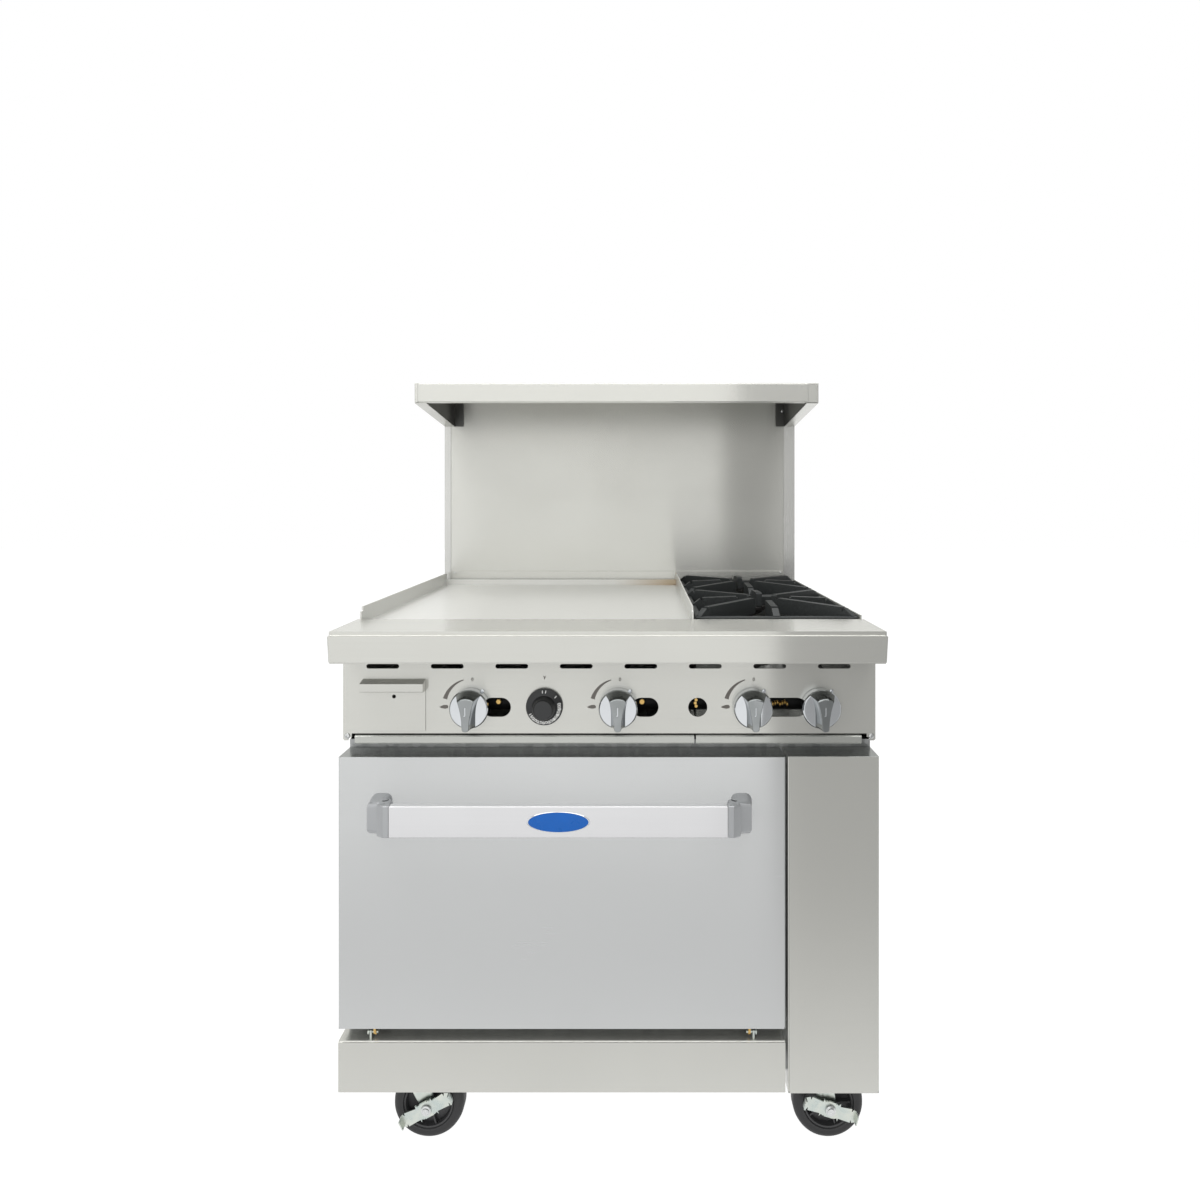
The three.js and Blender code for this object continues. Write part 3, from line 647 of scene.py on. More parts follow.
def add_ledge():
    """One folded sheet with a rounded front edge between two closed ends."""
    low, high = node_box("front_ledge")
    section = bent(
        [(low.y + 16, low.z), (low.y, low.z), (low.y, high.z), (high.y, high.z), (high.y, low.z)],
        -2, [0, 2.5, 7, 3, 0],
    )
    body = prism(section, "x", (low.x + LEDGE_END, high.x - LEDGE_END), 0)
    ends = [ledge_end(low, high, sign) for sign in (-1, 1)]
    make(
        "landing_ledge", merged(body, *ends), "range", "stainless", "stainless",
        replaces=["front_ledge"], angle=20,
    )


# Control panel
PORTS = ((-193.5, 49), (61.5, 46), (152, 32.5), (300.5, 77))
PORT_HEIGHT = 32.5
KNOB_NODES = (
    "griddle_knob_left", "griddle_knob_right", "front_burner_knob", "rear_burner_knob"
)


def node_centre(node):
    low, high = node_box(node)
    return (low + high) / 2


CONTROL_Z = node_centre("oven_thermostat").z
VENT = {"count": 8, "first": -389, "pitch": 110.8, "length": 56, "height": 7.6, "z": 869.4}
DRAWER_LOW, DRAWER_HIGH = node_box("grease_drawer")


def add_control_panel():
    low, high = node_box("control_panel")
    tab, foot = 15, low.z + 12
    edge = filleted(
        [
            (low.x, low.z), (low.x + tab, low.z), (low.x + tab, foot),
            (high.x - tab, foot), (high.x - tab, low.z), (high.x, low.z),
            (high.x, high.z), (low.x, high.z),
        ],
        [2, 6, 1, 1, 6, 2, 1, 1],
        closed=True,
    )
    holes = [pill(x, CONTROL_Z - 1, length, PORT_HEIGHT, 12) for x, length in PORTS]
    stems = [node_centre(node).x for node in (*KNOB_NODES, "oven_dial")]
    holes += [pill(x, CONTROL_Z, 16, 16) for x in stems]
    for i in range(VENT["count"]):
        x = VENT["first"] + i * VENT["pitch"]
        holes.append(pill(x, VENT["z"], VENT["length"], VENT["height"]))
    inner = (DRAWER_LOW.x + 2, DRAWER_HIGH.x - 2, DRAWER_LOW.z + 2, DRAWER_HIGH.z - 6)
    holes.append(rectangle(*inner))
    skin = plate([edge, *holes], low.y, SHEET, 0.4)
    screws = [screw(x, low.y, low.z + 8, 5) for x in (low.x + 7.5, high.x - 7.5)]
    make(
        "control_fascia", merged(skin, *[painted(s, 1) for s in screws]), "range", "stainless",
        "stainless", "screw_steel", replaces=["control_panel"],
    )


def ribbon(points, d, thickness=0.12):
    return prism(points, "d", (d - thickness, d), 0)


def tapered_arc(x, z, radius, start, end, thin, thick, steps=16):
    """A band round (x, z) that widens from thin to thick and draws in a little as it does."""
    outer, inner = [], []
    for i in range(steps + 1):
        share = i / steps
        angle = math.radians(start + (end - start) * share)
        half = (thin + (thick - thin) * share) / 2
        middle = radius - 1.5 * share
        for line, reach in ((outer, middle + half), (inner, middle - half)):
            line.append((x + reach * math.cos(angle), z + reach * math.sin(angle)))
    return outer + inner[::-1]


# The flame mark's outline, from the knob's axis
FLAME = [
    (-54, -0.5), (-50, 1.6), (-46, 3), (-41, 3.2), (-38.5, 1), (-39, -2.4), (-44, -3.4),
    (-50, -2.6),
]


def add_panel_print():
    """Silk-screened marks: a flame scale and an off mark at three knobs, a pointer at the dial."""
    d = node_box("control_panel")[0].y
    marks = []
    for node in KNOB_NODES[:3]:
        x, z = node_centre(node).x, CONTROL_Z
        marks.append(ribbon(tapered_arc(x, z, 47.6, 105, 163, 1.6, 7.4), d))
        off = [pill(x + 2.7, z + 47, 4.4, 7), pill(x + 2.7, z + 47, 2, 4)]
        marks.append(plate(off, d - 0.12, 0.1, 0.02))
        marks.append(ribbon([(x + a, z + b) for a, b in FLAME], d))
    x, z = node_centre("oven_dial").x, CONTROL_Z + 50
    marks.append(ribbon([(x - 2.6, z + 4), (x, z - 4), (x + 2.6, z + 4), (x, z + 1.5)], d))
    make("panel_marks", merged(*marks), "range", "stainless", "panel_ink")


def add_lighting_studs():
    """A small bright stud above and right of each knob."""
    d = node_box("control_panel")[0].y
    studs = []
    for node in KNOB_NODES:
        x = node_centre(node).x
        studs.append(screw(x + 20, d, CONTROL_Z + 27, 3.6))
    make("valve_bezel_screws", merged(*studs), "range", "stainless", "chrome")


def add_grease_drawer():
    """Front with a folded pull lip over a deep open box."""
    low, high = DRAWER_LOW, DRAWER_HIGH
    front = node_box("control_panel")[0].y - 0.3 - SHEET
    hole = pill((low.x + high.x) / 2, high.z - 30, 6.4, 6.4, 8)
    face = plate([rectangle(low.x, high.x, low.z, high.z), hole], front, SHEET, 0.4)
    lip = prism(
        [
            (front + 0.5, high.z), (low.y + 0.5, high.z - 4.5), (low.y, high.z - 6),
            (low.y, high.z - 18), (low.y + 1.5, high.z - 19.5), (front + 0.5, high.z - 20),
        ],
        "x", (low.x, high.x), 0.7,
    )
    left, right = low.x + 4, high.x - 4
    floor, top, back = low.z + 4, high.z - 9, high.y
    start = front + SHEET - 0.2
    walls = [
        block((left, left + SHEET), (start, back), (floor, top)),
        block((right - SHEET, right), (start, back), (floor, top)),
        block((left, right), (back - SHEET, back), (floor, top)),
        block((left, right), (start, back), (floor, floor + SHEET)),
    ]
    make(
        "grease_drawer_box", merged(face, lip, *walls), "grease_drawer", "stainless",
        "stainless", replaces=["grease_drawer"],
    )


def add_crumb_trays():
    for node in ("crumb_tray_left", "crumb_tray_right"):
        low, high = node_box(node)
        wall = 1.2
        front = bent(
            [(low.y + 9, high.z), (low.y, high.z), (low.y, low.z), (high.y, low.z), (high.y, high.z)],
            wall, [0, 1.5, 2, 2, 0],
        )
        parts = [prism(front, "x", (low.x, high.x), 0.25, 1, 50)]
        for x in ((low.x, low.x + wall), (high.x - wall, high.x)):
            parts.append(block(x, (low.y + 2, high.y - 1), (low.z + 0.5, high.z - 0.3), 0.3))
        make(
            node + "_pan", merged(*parts), node, "galvanised", "tray_steel", replaces=[node]
        )


# Knobs and dial
KNOB_FACE, KNOB_FRONT = 17, 40


def knob_ring(height, trim=0.0, chamfer=0.0):
    """The grip's outline at a height above the panel: a hood at the top, a blade below it."""
    share = (height - KNOB_FACE) / (KNOB_FRONT - KNOB_FACE)

    def between(at_face, at_front):
        return at_face + (at_front - at_face) * share

    hood = between(31.8, 24.2)
    half_angle = between(41, 34)
    taper = between(4.0, 1.6)
    waist = 6.1 + 5.9 * (1 - share) ** 2.2 - trim
    crown = arc((0, 0), hood, 90 - half_angle, 90 + half_angle, 16)
    corner_x, corner_z = crown[0][0] - trim, crown[0][1]
    start = -26 - 1.2 * (1 - share) + trim
    right = []
    for i in range(11):
        climb = i / 10
        right.append((waist + (corner_x - waist) * climb ** taper, start + (corner_z - start) * climb))
    tip = [(a * waist, start + b * 5) for a, b in arc((0, 0), 1, -90, 0, 6)][:-1]
    crown = [(a * (1 - trim / hood), b - chamfer * math.sin(math.acos(a / hood))) for a, b in crown[1:-1]]
    half = tip + right
    return half + crown + [(-a, b) for a, b in reversed(half[1:])]


def knob_mesh():
    """A deep skirt with two flats, and the grip standing out of it. Origin on its axis, front -d."""
    skirt = lathe(
        [(5.2, 0), (32.4, 0), (33, -0.8), (33, -14.2), (31.2, -16.5), (30.2, -17), (5.2, -17.2)],
        (0, 0, 0), "d", 64,
    )
    rings = []
    for height in (15, 17, 18.2, 20, 22.5, 26, 30, 34, 37):
        ring = knob_ring(max(height, KNOB_FACE))
        rings.append([(a, -height, b) for a, b in ring])
    for height, trim, chamfer in ((39.0, 0.2, 1.8), (39.8, 0.6, 3.2), (40, 1.1, 4.0)):
        rings.append([(a, -height, b) for a, b in knob_ring(37, trim, chamfer)])
    grip = loft(rings)
    line = block((-0.8, 0.8), (-40.6, -39.6), (-3, 10), 0.3, 2)
    foot = block((-2.2, 0.4), (-40.6, -39.6), (-4.4, -2.8), 0.3, 2)
    # the grip takes material 1, the darker painted-shade chrome
    return merged(skirt, painted(grip, 1), line, foot)


def add_knobs():
    for node in KNOB_NODES:
        low, high = node_box(node)
        shape = moved(knob_mesh(), (low.x + high.x) / 2, high.y, CONTROL_Z)
        make(
            node + "_chrome", shape, node, "chrome", "chrome", "grip_chrome", replaces=[node],
            angle=38,
        )


def lettering(text, size, depth=0.12):
    """Upright figures in the x-z plane, centred, as a thin solid."""
    curve = bpy.data.curves.new("figures", "FONT")
    curve.body = text
    curve.size = size
    curve.align_x = "CENTER"
    curve.align_y = "CENTER"
    curve.extrude = depth / 2
    curve.offset = 0.22
    curve.resolution_u = 3
    holder = bpy.data.objects.new("figures", curve)
    mesh = bpy.data.meshes.new_from_object(holder)
    shape = bmesh.new()
    shape.from_mesh(mesh)
    bpy.data.objects.remove(holder)
    bpy.data.curves.remove(curve)
    bpy.data.meshes.remove(mesh)
    bmesh.ops.remove_doubles(shape, verts=shape.verts, dist=0.0005)
    return moved(shape, turn=Matrix.Rotation(math.pi / 2, 3, "X"))


DIAL_BAND = {"outer": 31.0, "inner": 20.5, "low": -4.4, "high": -9.4}


def dial_mark(shape, degrees, radius):
    """Lays an upright mark on the dial's sloping band, its top towards the dial's centre."""
    rise = DIAL_BAND["low"] - DIAL_BAND["high"]
    slope = math.atan2(rise, DIAL_BAND["outer"] - DIAL_BAND["inner"])
    height = DIAL_BAND["low"] - (DIAL_BAND["outer"] - radius) * math.tan(slope)
    shape = moved(shape, turn=Matrix.Rotation(slope, 3, "X"))
    shape = moved(shape, d=height - 0.05, z=-radius)
    return moved(shape, turn=Matrix.Rotation(-math.radians(degrees + 90), 3, "Y"))


def add_dial():
    """Black dial: figures on its sloping band, a raised centre with a plain face."""
    low, high = node_box("oven_dial")
    x, z = (low.x + high.x) / 2, (low.z + high.z) / 2
    face = low.y - high.y
    profile = [
        (5.2, 0), (31.0, 0), (31.5, -0.6), (31.5, -3.6), (DIAL_BAND["outer"], DIAL_BAND["low"]),
        (DIAL_BAND["inner"], DIAL_BAND["high"]), (19.2, -14.0), (17.6, face + 3.2),
        (16.4, face + 0.8), (15.4, face), (14.6, face + 0.5), (0, face + 0.5),
    ]
    body = lathe(profile, (x, high.y, z), "d", 64)
    marks = []
    for i, text in enumerate(("150", "200", "250", "300", "350", "400", "450", "500")):
        marks.append(dial_mark(lettering(text, 8.6), 216 + i * 21, 26.4))
    for degrees in (42, 84, 96):
        tick = block((-0.7, 0.7), (-0.06, 0.06), (-2.4, 2.4), 0)
        marks.append(dial_mark(tick, degrees, 26.4))
    marks = [painted(moved(mark, x, high.y, z), 1) for mark in marks]
    make(
        "oven_dial_face", merged(body, *marks), "oven_dial", "black_plastic",
        "black_plastic", "white_print", replaces=["oven_dial"],
    )


# Oven door
def pan(x, d, z, bend=2.0):
    """A shallow tray of sheet steel, open at the back, with soft folded edges."""
    side = bent([(x[0], d[1]), (x[0], d[0]), (x[1], d[0]), (x[1], d[1])], SHEET, bend)
    skin = prism(side, "z", (z[0] + 0.4, z[1] - 0.4), 0.3, 1, 50)
    # the top and bottom caps take material 1, which the door and the service panel give the darker
    # painted-shade edge steel
    caps = [
        block((x[0] + 0.3, x[1] - 0.3), (d[0] + 0.35, d[1]), (low, low + SHEET), 0.7, 3)
        for low in (z[1] - SHEET, z[0])
    ]
    return merged(skin, *[painted(cap, 1) for cap in caps])


HINGE_REACH = 318
DOOR_SKIN_LOW = 261


def hinge_x(sign):
    low, high = node_box("door_outer_panel")
    return (low.x + high.x) / 2 + sign * HINGE_REACH


def add_door():
    low, high = node_box("door_outer_panel")
    shell = pan((low.x, high.x), (low.y, high.y), (DOOR_SKIN_LOW, high.z))
    arms = []
    for sign in (-1, 1):
        x = hinge_x(sign)
        arm = prism(
            filleted(
                rectangle(low.y + 4.5, low.y + 15.5, low.z, DOOR_SKIN_LOW + 1),
                [5, 5, 0, 0], closed=True,
            ),
            "x", (x - 2, x + 2), 0.4,
        )
        arms.append(painted(arm, 2))
    make(
        "door_skin", merged(shell, *arms), "oven_door", "door_steel", "door_steel", "edge_steel",
        "brass", replaces=["door_outer_panel"],
    )
    low, high = node_box("door_inner_panel")
    liner = node_block("door_inner_panel", 2.5)
    inset = 60
    field = prism(
        filleted(
            rectangle(low.x + inset, high.x - inset, low.z + inset, high.z - inset), 20, closed=True
        ),
        "d", (high.y - 3, high.y), 1.4, 3,
    )
    screws = []
    for x in (low.x + 25, (low.x + high.x) / 2, high.x - 25):
        for z in (low.z + 25, high.z - 25):
            screws.append(painted(screw(x, high.y - 2, z, 4, "d", 1), 1))
    moved(field, d=-2.6)
    make(
        "door_liner", merged(liner, field, *screws), "oven_door", "galvanised", "galvanised",
        "screw_steel", replaces=["door_inner_panel"],
    )


HANDLE_BAR_HALF = 275
HANDLE_CORNER, HANDLE_FOOT_CORNER = 2.2, 10
HANDLE_HALF_THICK, HANDLE_FOOT_HALF = 6.5, 17
BADGE_SCALE = (51.5, 1, 16.8)


def rounded_ring(half_a, half_b, radius, steps=5):
    """Points round a rectangle with circular corners."""
    ring = []
    for quarter, (a, b) in enumerate(((1, 1), (-1, 1), (-1, -1), (1, -1))):
        centre = (a * (half_a - radius), b * (half_b - radius))
        ring += arc(centre, radius, quarter * 90, quarter * 90 + 90, steps)
    return ring


def handle_cap(centre, half, front, back, low, high, sign):
    """A cast elbow: flat like the bar at one end, an upright oval where it meets the door."""
    foot_half = HANDLE_FOOT_HALF
    line = [
        (HANDLE_BAR_HALF + 0.4, front + 6.5), (HANDLE_BAR_HALF + 8, front + 6.6),
        *filleted(
            [(HANDLE_BAR_HALF + 9, front + 6.8), (half - foot_half - 1, front + 9),
             (half - foot_half, back - 6)],
            [0, 16, 0], steps=10,
        ),
        (half - foot_half, back),
    ]
    line = [Vector(point) for point in line]
    total = sum((b - a).length for a, b in zip(line, line[1:]))
    middle = (low + high) / 2
    travelled = 0.0
    rings = []
    for i, point in enumerate(line):
        if i:
            travelled += (point - line[i - 1]).length
        share = min(travelled / total * 1.25, 1.0)
        ease = share * share * (3 - 2 * share)
        ahead = (line[min(i + 1, len(line) - 1)] - line[max(i - 1, 0)]).normalized()
        across = Vector((ahead.y, -ahead.x))
        half_wide = HANDLE_HALF_THICK + (foot_half - HANDLE_HALF_THICK) * ease
        corner = HANDLE_CORNER + (HANDLE_FOOT_CORNER - HANDLE_CORNER) * ease
        ring = []
        for a, b in rounded_ring(half_wide, (high - low) / 2, corner):
            spot = point + across * a
            ring.append((centre + sign * spot.x, max(spot.y, front), middle + b))
        rings.append(ring)
    return loft(rings)


def add_handle():
    """Flat extruded bar between two cast end caps that curve back to the door."""
    low, high = node_box("door_handle")
    centre, half = (low.x + high.x) / 2, (high.x - low.x) / 2
    front, back = low.y, high.y
    bar = block(
        (centre - HANDLE_BAR_HALF, centre + HANDLE_BAR_HALF),
        (front + 0.5, front + 13), (low.z + 0.6, high.z - 0.6), 1.8, 3,
    )
    caps = [handle_cap(centre, half, front, back, low.z, high.z, sign) for sign in (-1, 1)]
    for cap in caps:
        painted(cap, 1)
    pull = make(
        "door_pull", merged(bar, *caps), "oven_door", "aluminium", "aluminium", "cap_grey",
        replaces=["door_handle"], angle=40,
    )
    badge_z = (low.z + high.z) / 2
    rim = [(0, 1.6), (1, 1.6), (1, 0.5), (0.985, 0.1), (0.955, 0.1), (0.95, 0.5), (0, 0.5)]
    field = [(0, 0.8), (0.948, 0.8), (0.948, 0.5), (0.92, 0.32), (0.6, 0.12), (0, 0.05)]
    rim, field = [lathe(profile, (0, 0, 0), "d", 72) for profile in (rim, field)]
    badge = merged(rim, painted(field, 1))
    bmesh.ops.scale(badge, vec=BADGE_SCALE, verts=badge.verts)
    badge = make(
        "handle_badge", moved(badge, centre, front, badge_z), "oven_door", "aluminium", "chrome",
        "badge_blue",
    )
    for piece in (pull, badge):  # the brushed door is too rough to show an image of them
        piece.visible_glossy = False


# Kick plate and service panel
KICK_TOP = 240
HINGE_PIN_HEIGHT = 250
LUG_OFFSET = 7


def add_kick_plate():
    low, high = node_box("kick_plate")
    top = KICK_TOP
    section = bent(
        [(low.y + 12, low.z), (low.y, low.z), (low.y, top), (high.y, top)], -SHEET, 2.2
    )
    skin = prism(section, "x", (low.x, high.x), 0.3, 1, 50)
    ends = []
    for x in ((low.x + 0.2, low.x + 1.7), (high.x - 1.7, high.x - 0.2)):
        ends.append(block(x, (low.y + 1.2, low.y + 26), (low.z + 1, top - 1), 0.5))
    lugs = []
    for sign in (-1, 1):
        x = hinge_x(sign) + sign * LUG_OFFSET
        lug = block((x - 2, x + 2), (low.y + 5, low.y + 24), (top - 1, high.z), 1.2)
        pin = lathe(
            [(2.5, -12), (2.5, 3), (4.6, 3), (4.6, 5.6), (0, 5.6)],
            (x, low.y + 10, HINGE_PIN_HEIGHT), "x", 20,
        )
        if sign < 0:
            pin = moved(moved(pin, -x), x, turn=Matrix.Scale(-1, 3, (1, 0, 0)))
            bmesh.ops.recalc_face_normals(pin, faces=pin.faces)
        lugs += [painted(lug, 1), painted(pin, 1)]
    make(
        "kick_panel", merged(skin, *ends, *lugs), "range", "stainless", "stainless", "zinc",
        replaces=["kick_plate"],
    )


def add_service_panel():
    low, high = node_box("service_panel")
    shell = pan((low.x, high.x), (low.y, high.y), (low.z, high.z), 2.2)
    make(
        "service_cover", shell, "range", "stainless", "stainless", "edge_steel",
        replaces=["service_panel"],
    )


# Griddle
REAR_SPLASH_TOP = 946
SPLASH_SHEET = 3
SPLASH_CORNER = 8


def add_griddle_guard():
    """Two side splashes with round front corners, welded to a low rear splash."""
    low, high = node_box("griddle_splash")
    cook_low, cook_high = node_box("griddle_plate")
    ledge_top = node_box("front_ledge")[1]
    parts = []
    for x in ((low.x, low.x + SPLASH_SHEET), (high.x - SPLASH_SHEET, high.x)):
        outline = filleted(
            [
                (ledge_top.y + 0.3, low.z), (high.y, low.z), (high.y, high.z),
                (low.y, high.z), (low.y, ledge_top.z + 0.3), (ledge_top.y + 0.3, ledge_top.z + 0.3),
            ],
            [0, 0, 2, SPLASH_CORNER, 0, 0], closed=True, steps=10,
        )
        parts.append(prism(outline, "x", x, 0.7, 2))
    rear_low = cook_high.y + 0.3
    parts.append(block((low.x + 1, high.x - 1), (rear_low, high.y), (cook_low.z, REAR_SPLASH_TOP), 0.7))
    for x in (cook_low.x, cook_high.x):
        height = cook_high.z - 0.4
        parts.append(tube([(x, cook_low.y + 2, height), (x, cook_high.y, height)], 1.6, 8))
    make(
        "griddle_guard", merged(*parts), "range", "griddle_steel", "griddle_steel",
        replaces=["griddle_splash"],
    )


# Open burners
def blade(length, peak, low, rim, thick):
    """A grate bar from the rim (u = 0) inwards: a short slope up to a long flat top."""
    outline = filleted(
        [(0, low), (0, rim), (20, peak - 3), (length, peak), (length, low + 9)],
        [0, 3, 10, 3, 2], closed=True, steps=4,
    )
    return prism(outline, "d", (-thick / 2, thick / 2), 1.6, 2)


GRATE_BAR, GRATE_RIM = 12, 21


def add_grates():
    for node in ("front_grate", "rear_grate"):
        low, high = node_box(node)
        centre = (low + high) / 2
        half = (high - low) / 2
        bar, rim = GRATE_BAR, low.z + GRATE_RIM
        parts = []
        for sign in (-1, 1):
            edge = (high.x - bar, high.x) if sign > 0 else (low.x, low.x + bar)
            parts.append(block(edge, (low.y, high.y), (low.z, rim), 2.2, 3))
            edge = (high.y - bar, high.y) if sign > 0 else (low.y, low.y + bar)
            parts.append(block((low.x, high.x), edge, (low.z + 0.1, rim - 0.1), 2.2, 3))
        corner = math.hypot(half.x, half.y) - 7
        for i in range(4):
            base = math.atan2(half.y, half.x)
            angle = (base, math.pi - base, math.pi + base, -base)[i]
            parts.append(turned_blade(centre, corner, 34, angle, low.z, rim, high.z, bar))
            straight = (half.x, half.y, half.x, half.y)[i] - 2
            parts.append(
                turned_blade(centre, straight, 52, i * math.pi / 2, low.z, rim, high.z, bar)
            )
        make(node + "_casting", merged(*parts), node, "cast_iron", "cast_iron", replaces=[node])


def turned_blade(centre, outer, inner, angle, low, rim, peak, thick):
    shape = blade(outer - inner, peak, low, rim, thick)
    shape = moved(shape, x=-outer)
    shape = moved(shape, turn=Matrix.Rotation(angle + math.pi, 3, "Z"))
    return moved(shape, centre.x, centre.y, 0)


BURNER_X = 297


def add_burner_heads():
    """Cast venturi burners: a ported ring under a domed cap, on a tapered throat."""
    for node in ("front_burner", "rear_burner"):
        x = BURNER_X
        d = node_centre(node.replace("burner", "grate")).y
        top = node_box(node)[1].z
        head = lathe(
            [
                (0, top - 88), (18, top - 88), (20, top - 42), (46, top - 30), (56, top - 22),
                (57.6, top - 19), (57.6, top - 13), (54, top - 11), (50, top - 10), (47, top - 4),
                (40, top - 1.2), (26, top - 0.4), (22, top - 3), (0, top - 3),
            ],
            (x, d, 0), "z", 64,
        )
        ports = []
        # the ports are not cut: a small block at each, set into the rim, takes the near-black painted
        # shade
        for angle in ring_angles(30):
            port = block((-2, 2), (-1.2, 1.2), (-3.2, 3.2), 0.3, 1)
            port = moved(port, x=57.2)
            port = moved(port, turn=Matrix.Rotation(angle, 3, "Z"))
            ports.append(painted(moved(port, x, d, top - 16), 1))
        z = 832
        mixer_x = node_centre(node + "_knob").x
        start = Vector((mixer_x, 137.0, z))
        corner = Vector((mixer_x, d - 110, z + 4))
        end = Vector((x, d, z + 8))
        path = [start, start.lerp(corner, 0.5), *[
            Vector(p) for p in filleted([start, corner, end], [0, 30, 0], steps=6)
        ][1:]]
        throat = tube(path, 12.5, 20)
        make(
            node + "_casting", merged(head, *ports, throat), "range", "cast_iron",
            "burner_iron", "black_ink", replaces=[node],
        )


# Casters
AXLE_HEIGHT = 63.5
LEVER_TILT = {"left_brake_lever": 27.7, "right_brake_lever": -17}


def add_wheels():
    """Rubber tyre with a raised sidewall ring on a ribbed plastic hub."""
    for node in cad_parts:
        if not node.endswith("_caster_wheel"):
            continue
        centre = node_centre(node)
        low, high = node_box(node)
        radius = (high.z - low.z) / 2
        half = (high.y - low.y) / 2
        tyre_side = [
            (radius - 19, half - 2.5), (radius - 17, half - 0.6), (radius - 13, half - 1.6),
            (radius - 9, half - 0.4), (radius - 4.5, half - 1.5), (radius - 1.4, half - 4.6),
            (radius, half - 9),
        ]
        seat = (radius - 20, -(half - 6))
        other_side = [(a, -b) for a, b in reversed(tyre_side)]
        tyre = [seat, (radius - 20, half - 6), *tyre_side, *other_side, seat]
        hub_side = [(6.4, half - 0.8), (13, half - 0.8), (14.5, half - 3), (16, 5)]
        rim_side = [(radius - 24, 5), (radius - 22, half - 2), (radius - 19.2, half - 1.6)]
        hub = [*hub_side, *rim_side, (radius - 19.2, half - 6)]
        profile = hub + [(a, -b) for a, b in reversed(hub)] + [hub[0]]
        parts = [lathe(profile, centre, "d", 64)]
        for angle in ring_angles(5):
            rib = block((13, radius - 21), (-half + 4, half - 4), (-1.6, 1.6), 0.8)
            rib = moved(rib, turn=Matrix.Rotation(angle, 3, "Y"))
            parts.append(moved(rib, *centre))
        hub_shape = merged(*parts)
        tyre_shape = painted(lathe(tyre, centre, "d", 72), 1)
        make(
            node + "_tyred", merged(hub_shape, tyre_shape), node.replace("_caster", ""),
            "wheel_rubber", "hub_plastic", "tyre_rubber", replaces=[node],
        )


def add_forks():
    """Pressed fork with a swivel head, and an axle bolt with a nut on each side."""
    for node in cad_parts:
        if not node.endswith("_caster_fork"):
            continue
        low, high = node_box(node)
        pivot = (low.x + high.x) / 2
        d = (low.y + high.y) / 2
        axle_x = node_centre(node.replace("fork", "wheel")).x
        sign = 1 if axle_x > pivot else -1
        head = lathe(
            [
                (0, high.z), (25.5, high.z), (26, high.z - 1), (26, high.z - 5), (24, high.z - 7.5),
                (22, high.z - 9), (24.5, high.z - 11), (25.5, high.z - 14), (24, high.z - 17),
                (0, high.z - 17),
            ],
            (pivot, d, 0), "z", 48,
        )
        parts = [head, block((pivot - 26, pivot + 26), (d - 21, d + 21), (128, 132), 1.6, 3)]
        leg = filleted(
            [
                (pivot - sign * 26, 131), (pivot + sign * 26, 131), (axle_x + sign * 12, 70),
                (axle_x + sign * 9, 53), (axle_x - sign * 9, 53), (axle_x - sign * 14, 66),
            ],
            [4, 4, 12, 9, 9, 12], closed=True, steps=6,
        )
        for span in ((d - 21, d - 18), (d + 18, d + 21)):
            parts.append(prism(leg, "d", span, 0.8, 2))
        axle = [(0, -26), (5.5, -26), (6, -25.4), (6, 25.4), (5.5, 26), (0, 26)]
        parts.append(painted(lathe(axle, (axle_x, d, AXLE_HEIGHT), "d", 24), 1))
        for side in (-1, 1):
            spans = sorted((side * 21, side * 25))
            nut = prism(
                [(9.5 * math.cos(a), 9.5 * math.sin(a)) for a in ring_angles(6)],
                "d", spans, 0.9, 2,
            )
            parts.append(painted(moved(nut, axle_x, d, AXLE_HEIGHT), 1))
        make(
            node + "_pressed", merged(*parts), node.replace("_fork", ""), "zinc", "zinc",
            "screw_steel", replaces=[node],
        )


def add_brake_levers():
    """Winged pedal plate that rocks on the axle, its two tips turned out towards the front."""
    for node in ("left_brake_lever", "right_brake_lever"):
        low, high = node_box(node)
        x = node_centre("front_" + node.split("_")[0] + "_caster_wheel").x
        tilt = LEVER_TILT[node]
        half = (high.x - low.x) / 2 / math.cos(math.radians(tilt)) - 2
        wing = filleted(
            [
                (-half, -8), (-half + 8, -12), (-16, -11), (-9, -14), (9, -14), (16, -11),
                (half - 8, -12), (half, -8), (half, 8), (half - 10, 13), (14, 10), (8, 14),
                (-8, 14), (-14, 10), (-half + 10, 13), (-half, 8),
            ],
            [3, 6, 6, 3, 3, 6, 6, 3, 3, 6, 6, 3, 3, 6, 6, 3], closed=True, steps=4,
        )
        plate_front = high.y - 3
        parts = [prism(wing, "d", (plate_front, high.y - 0.3), 0.6, 2)]
        for sign in (-1, 1):
            parts.append(
                block(
                    sorted((sign * half, sign * (half - 2.6))), (low.y, high.y - 1), (-8, 8), 0.9, 2
                )
            )
        boss = [(0, 0), (10, 0), (9, -3), (6.5, -4.4), (6.2, -6), (0, -6)]
        parts.append(painted(lathe(boss, (0, plate_front, 0), "d", 24), 1))
        shape = merged(*parts)
        shape = moved(shape, turn=Matrix.Rotation(-math.radians(tilt), 3, "Y"))
        shape = moved(shape, x, 0, AXLE_HEIGHT)
        make(
            node + "_pressed", shape, node.replace("_lever", ""), "zinc", "zinc", "screw_steel",
            replaces=[node],
        )


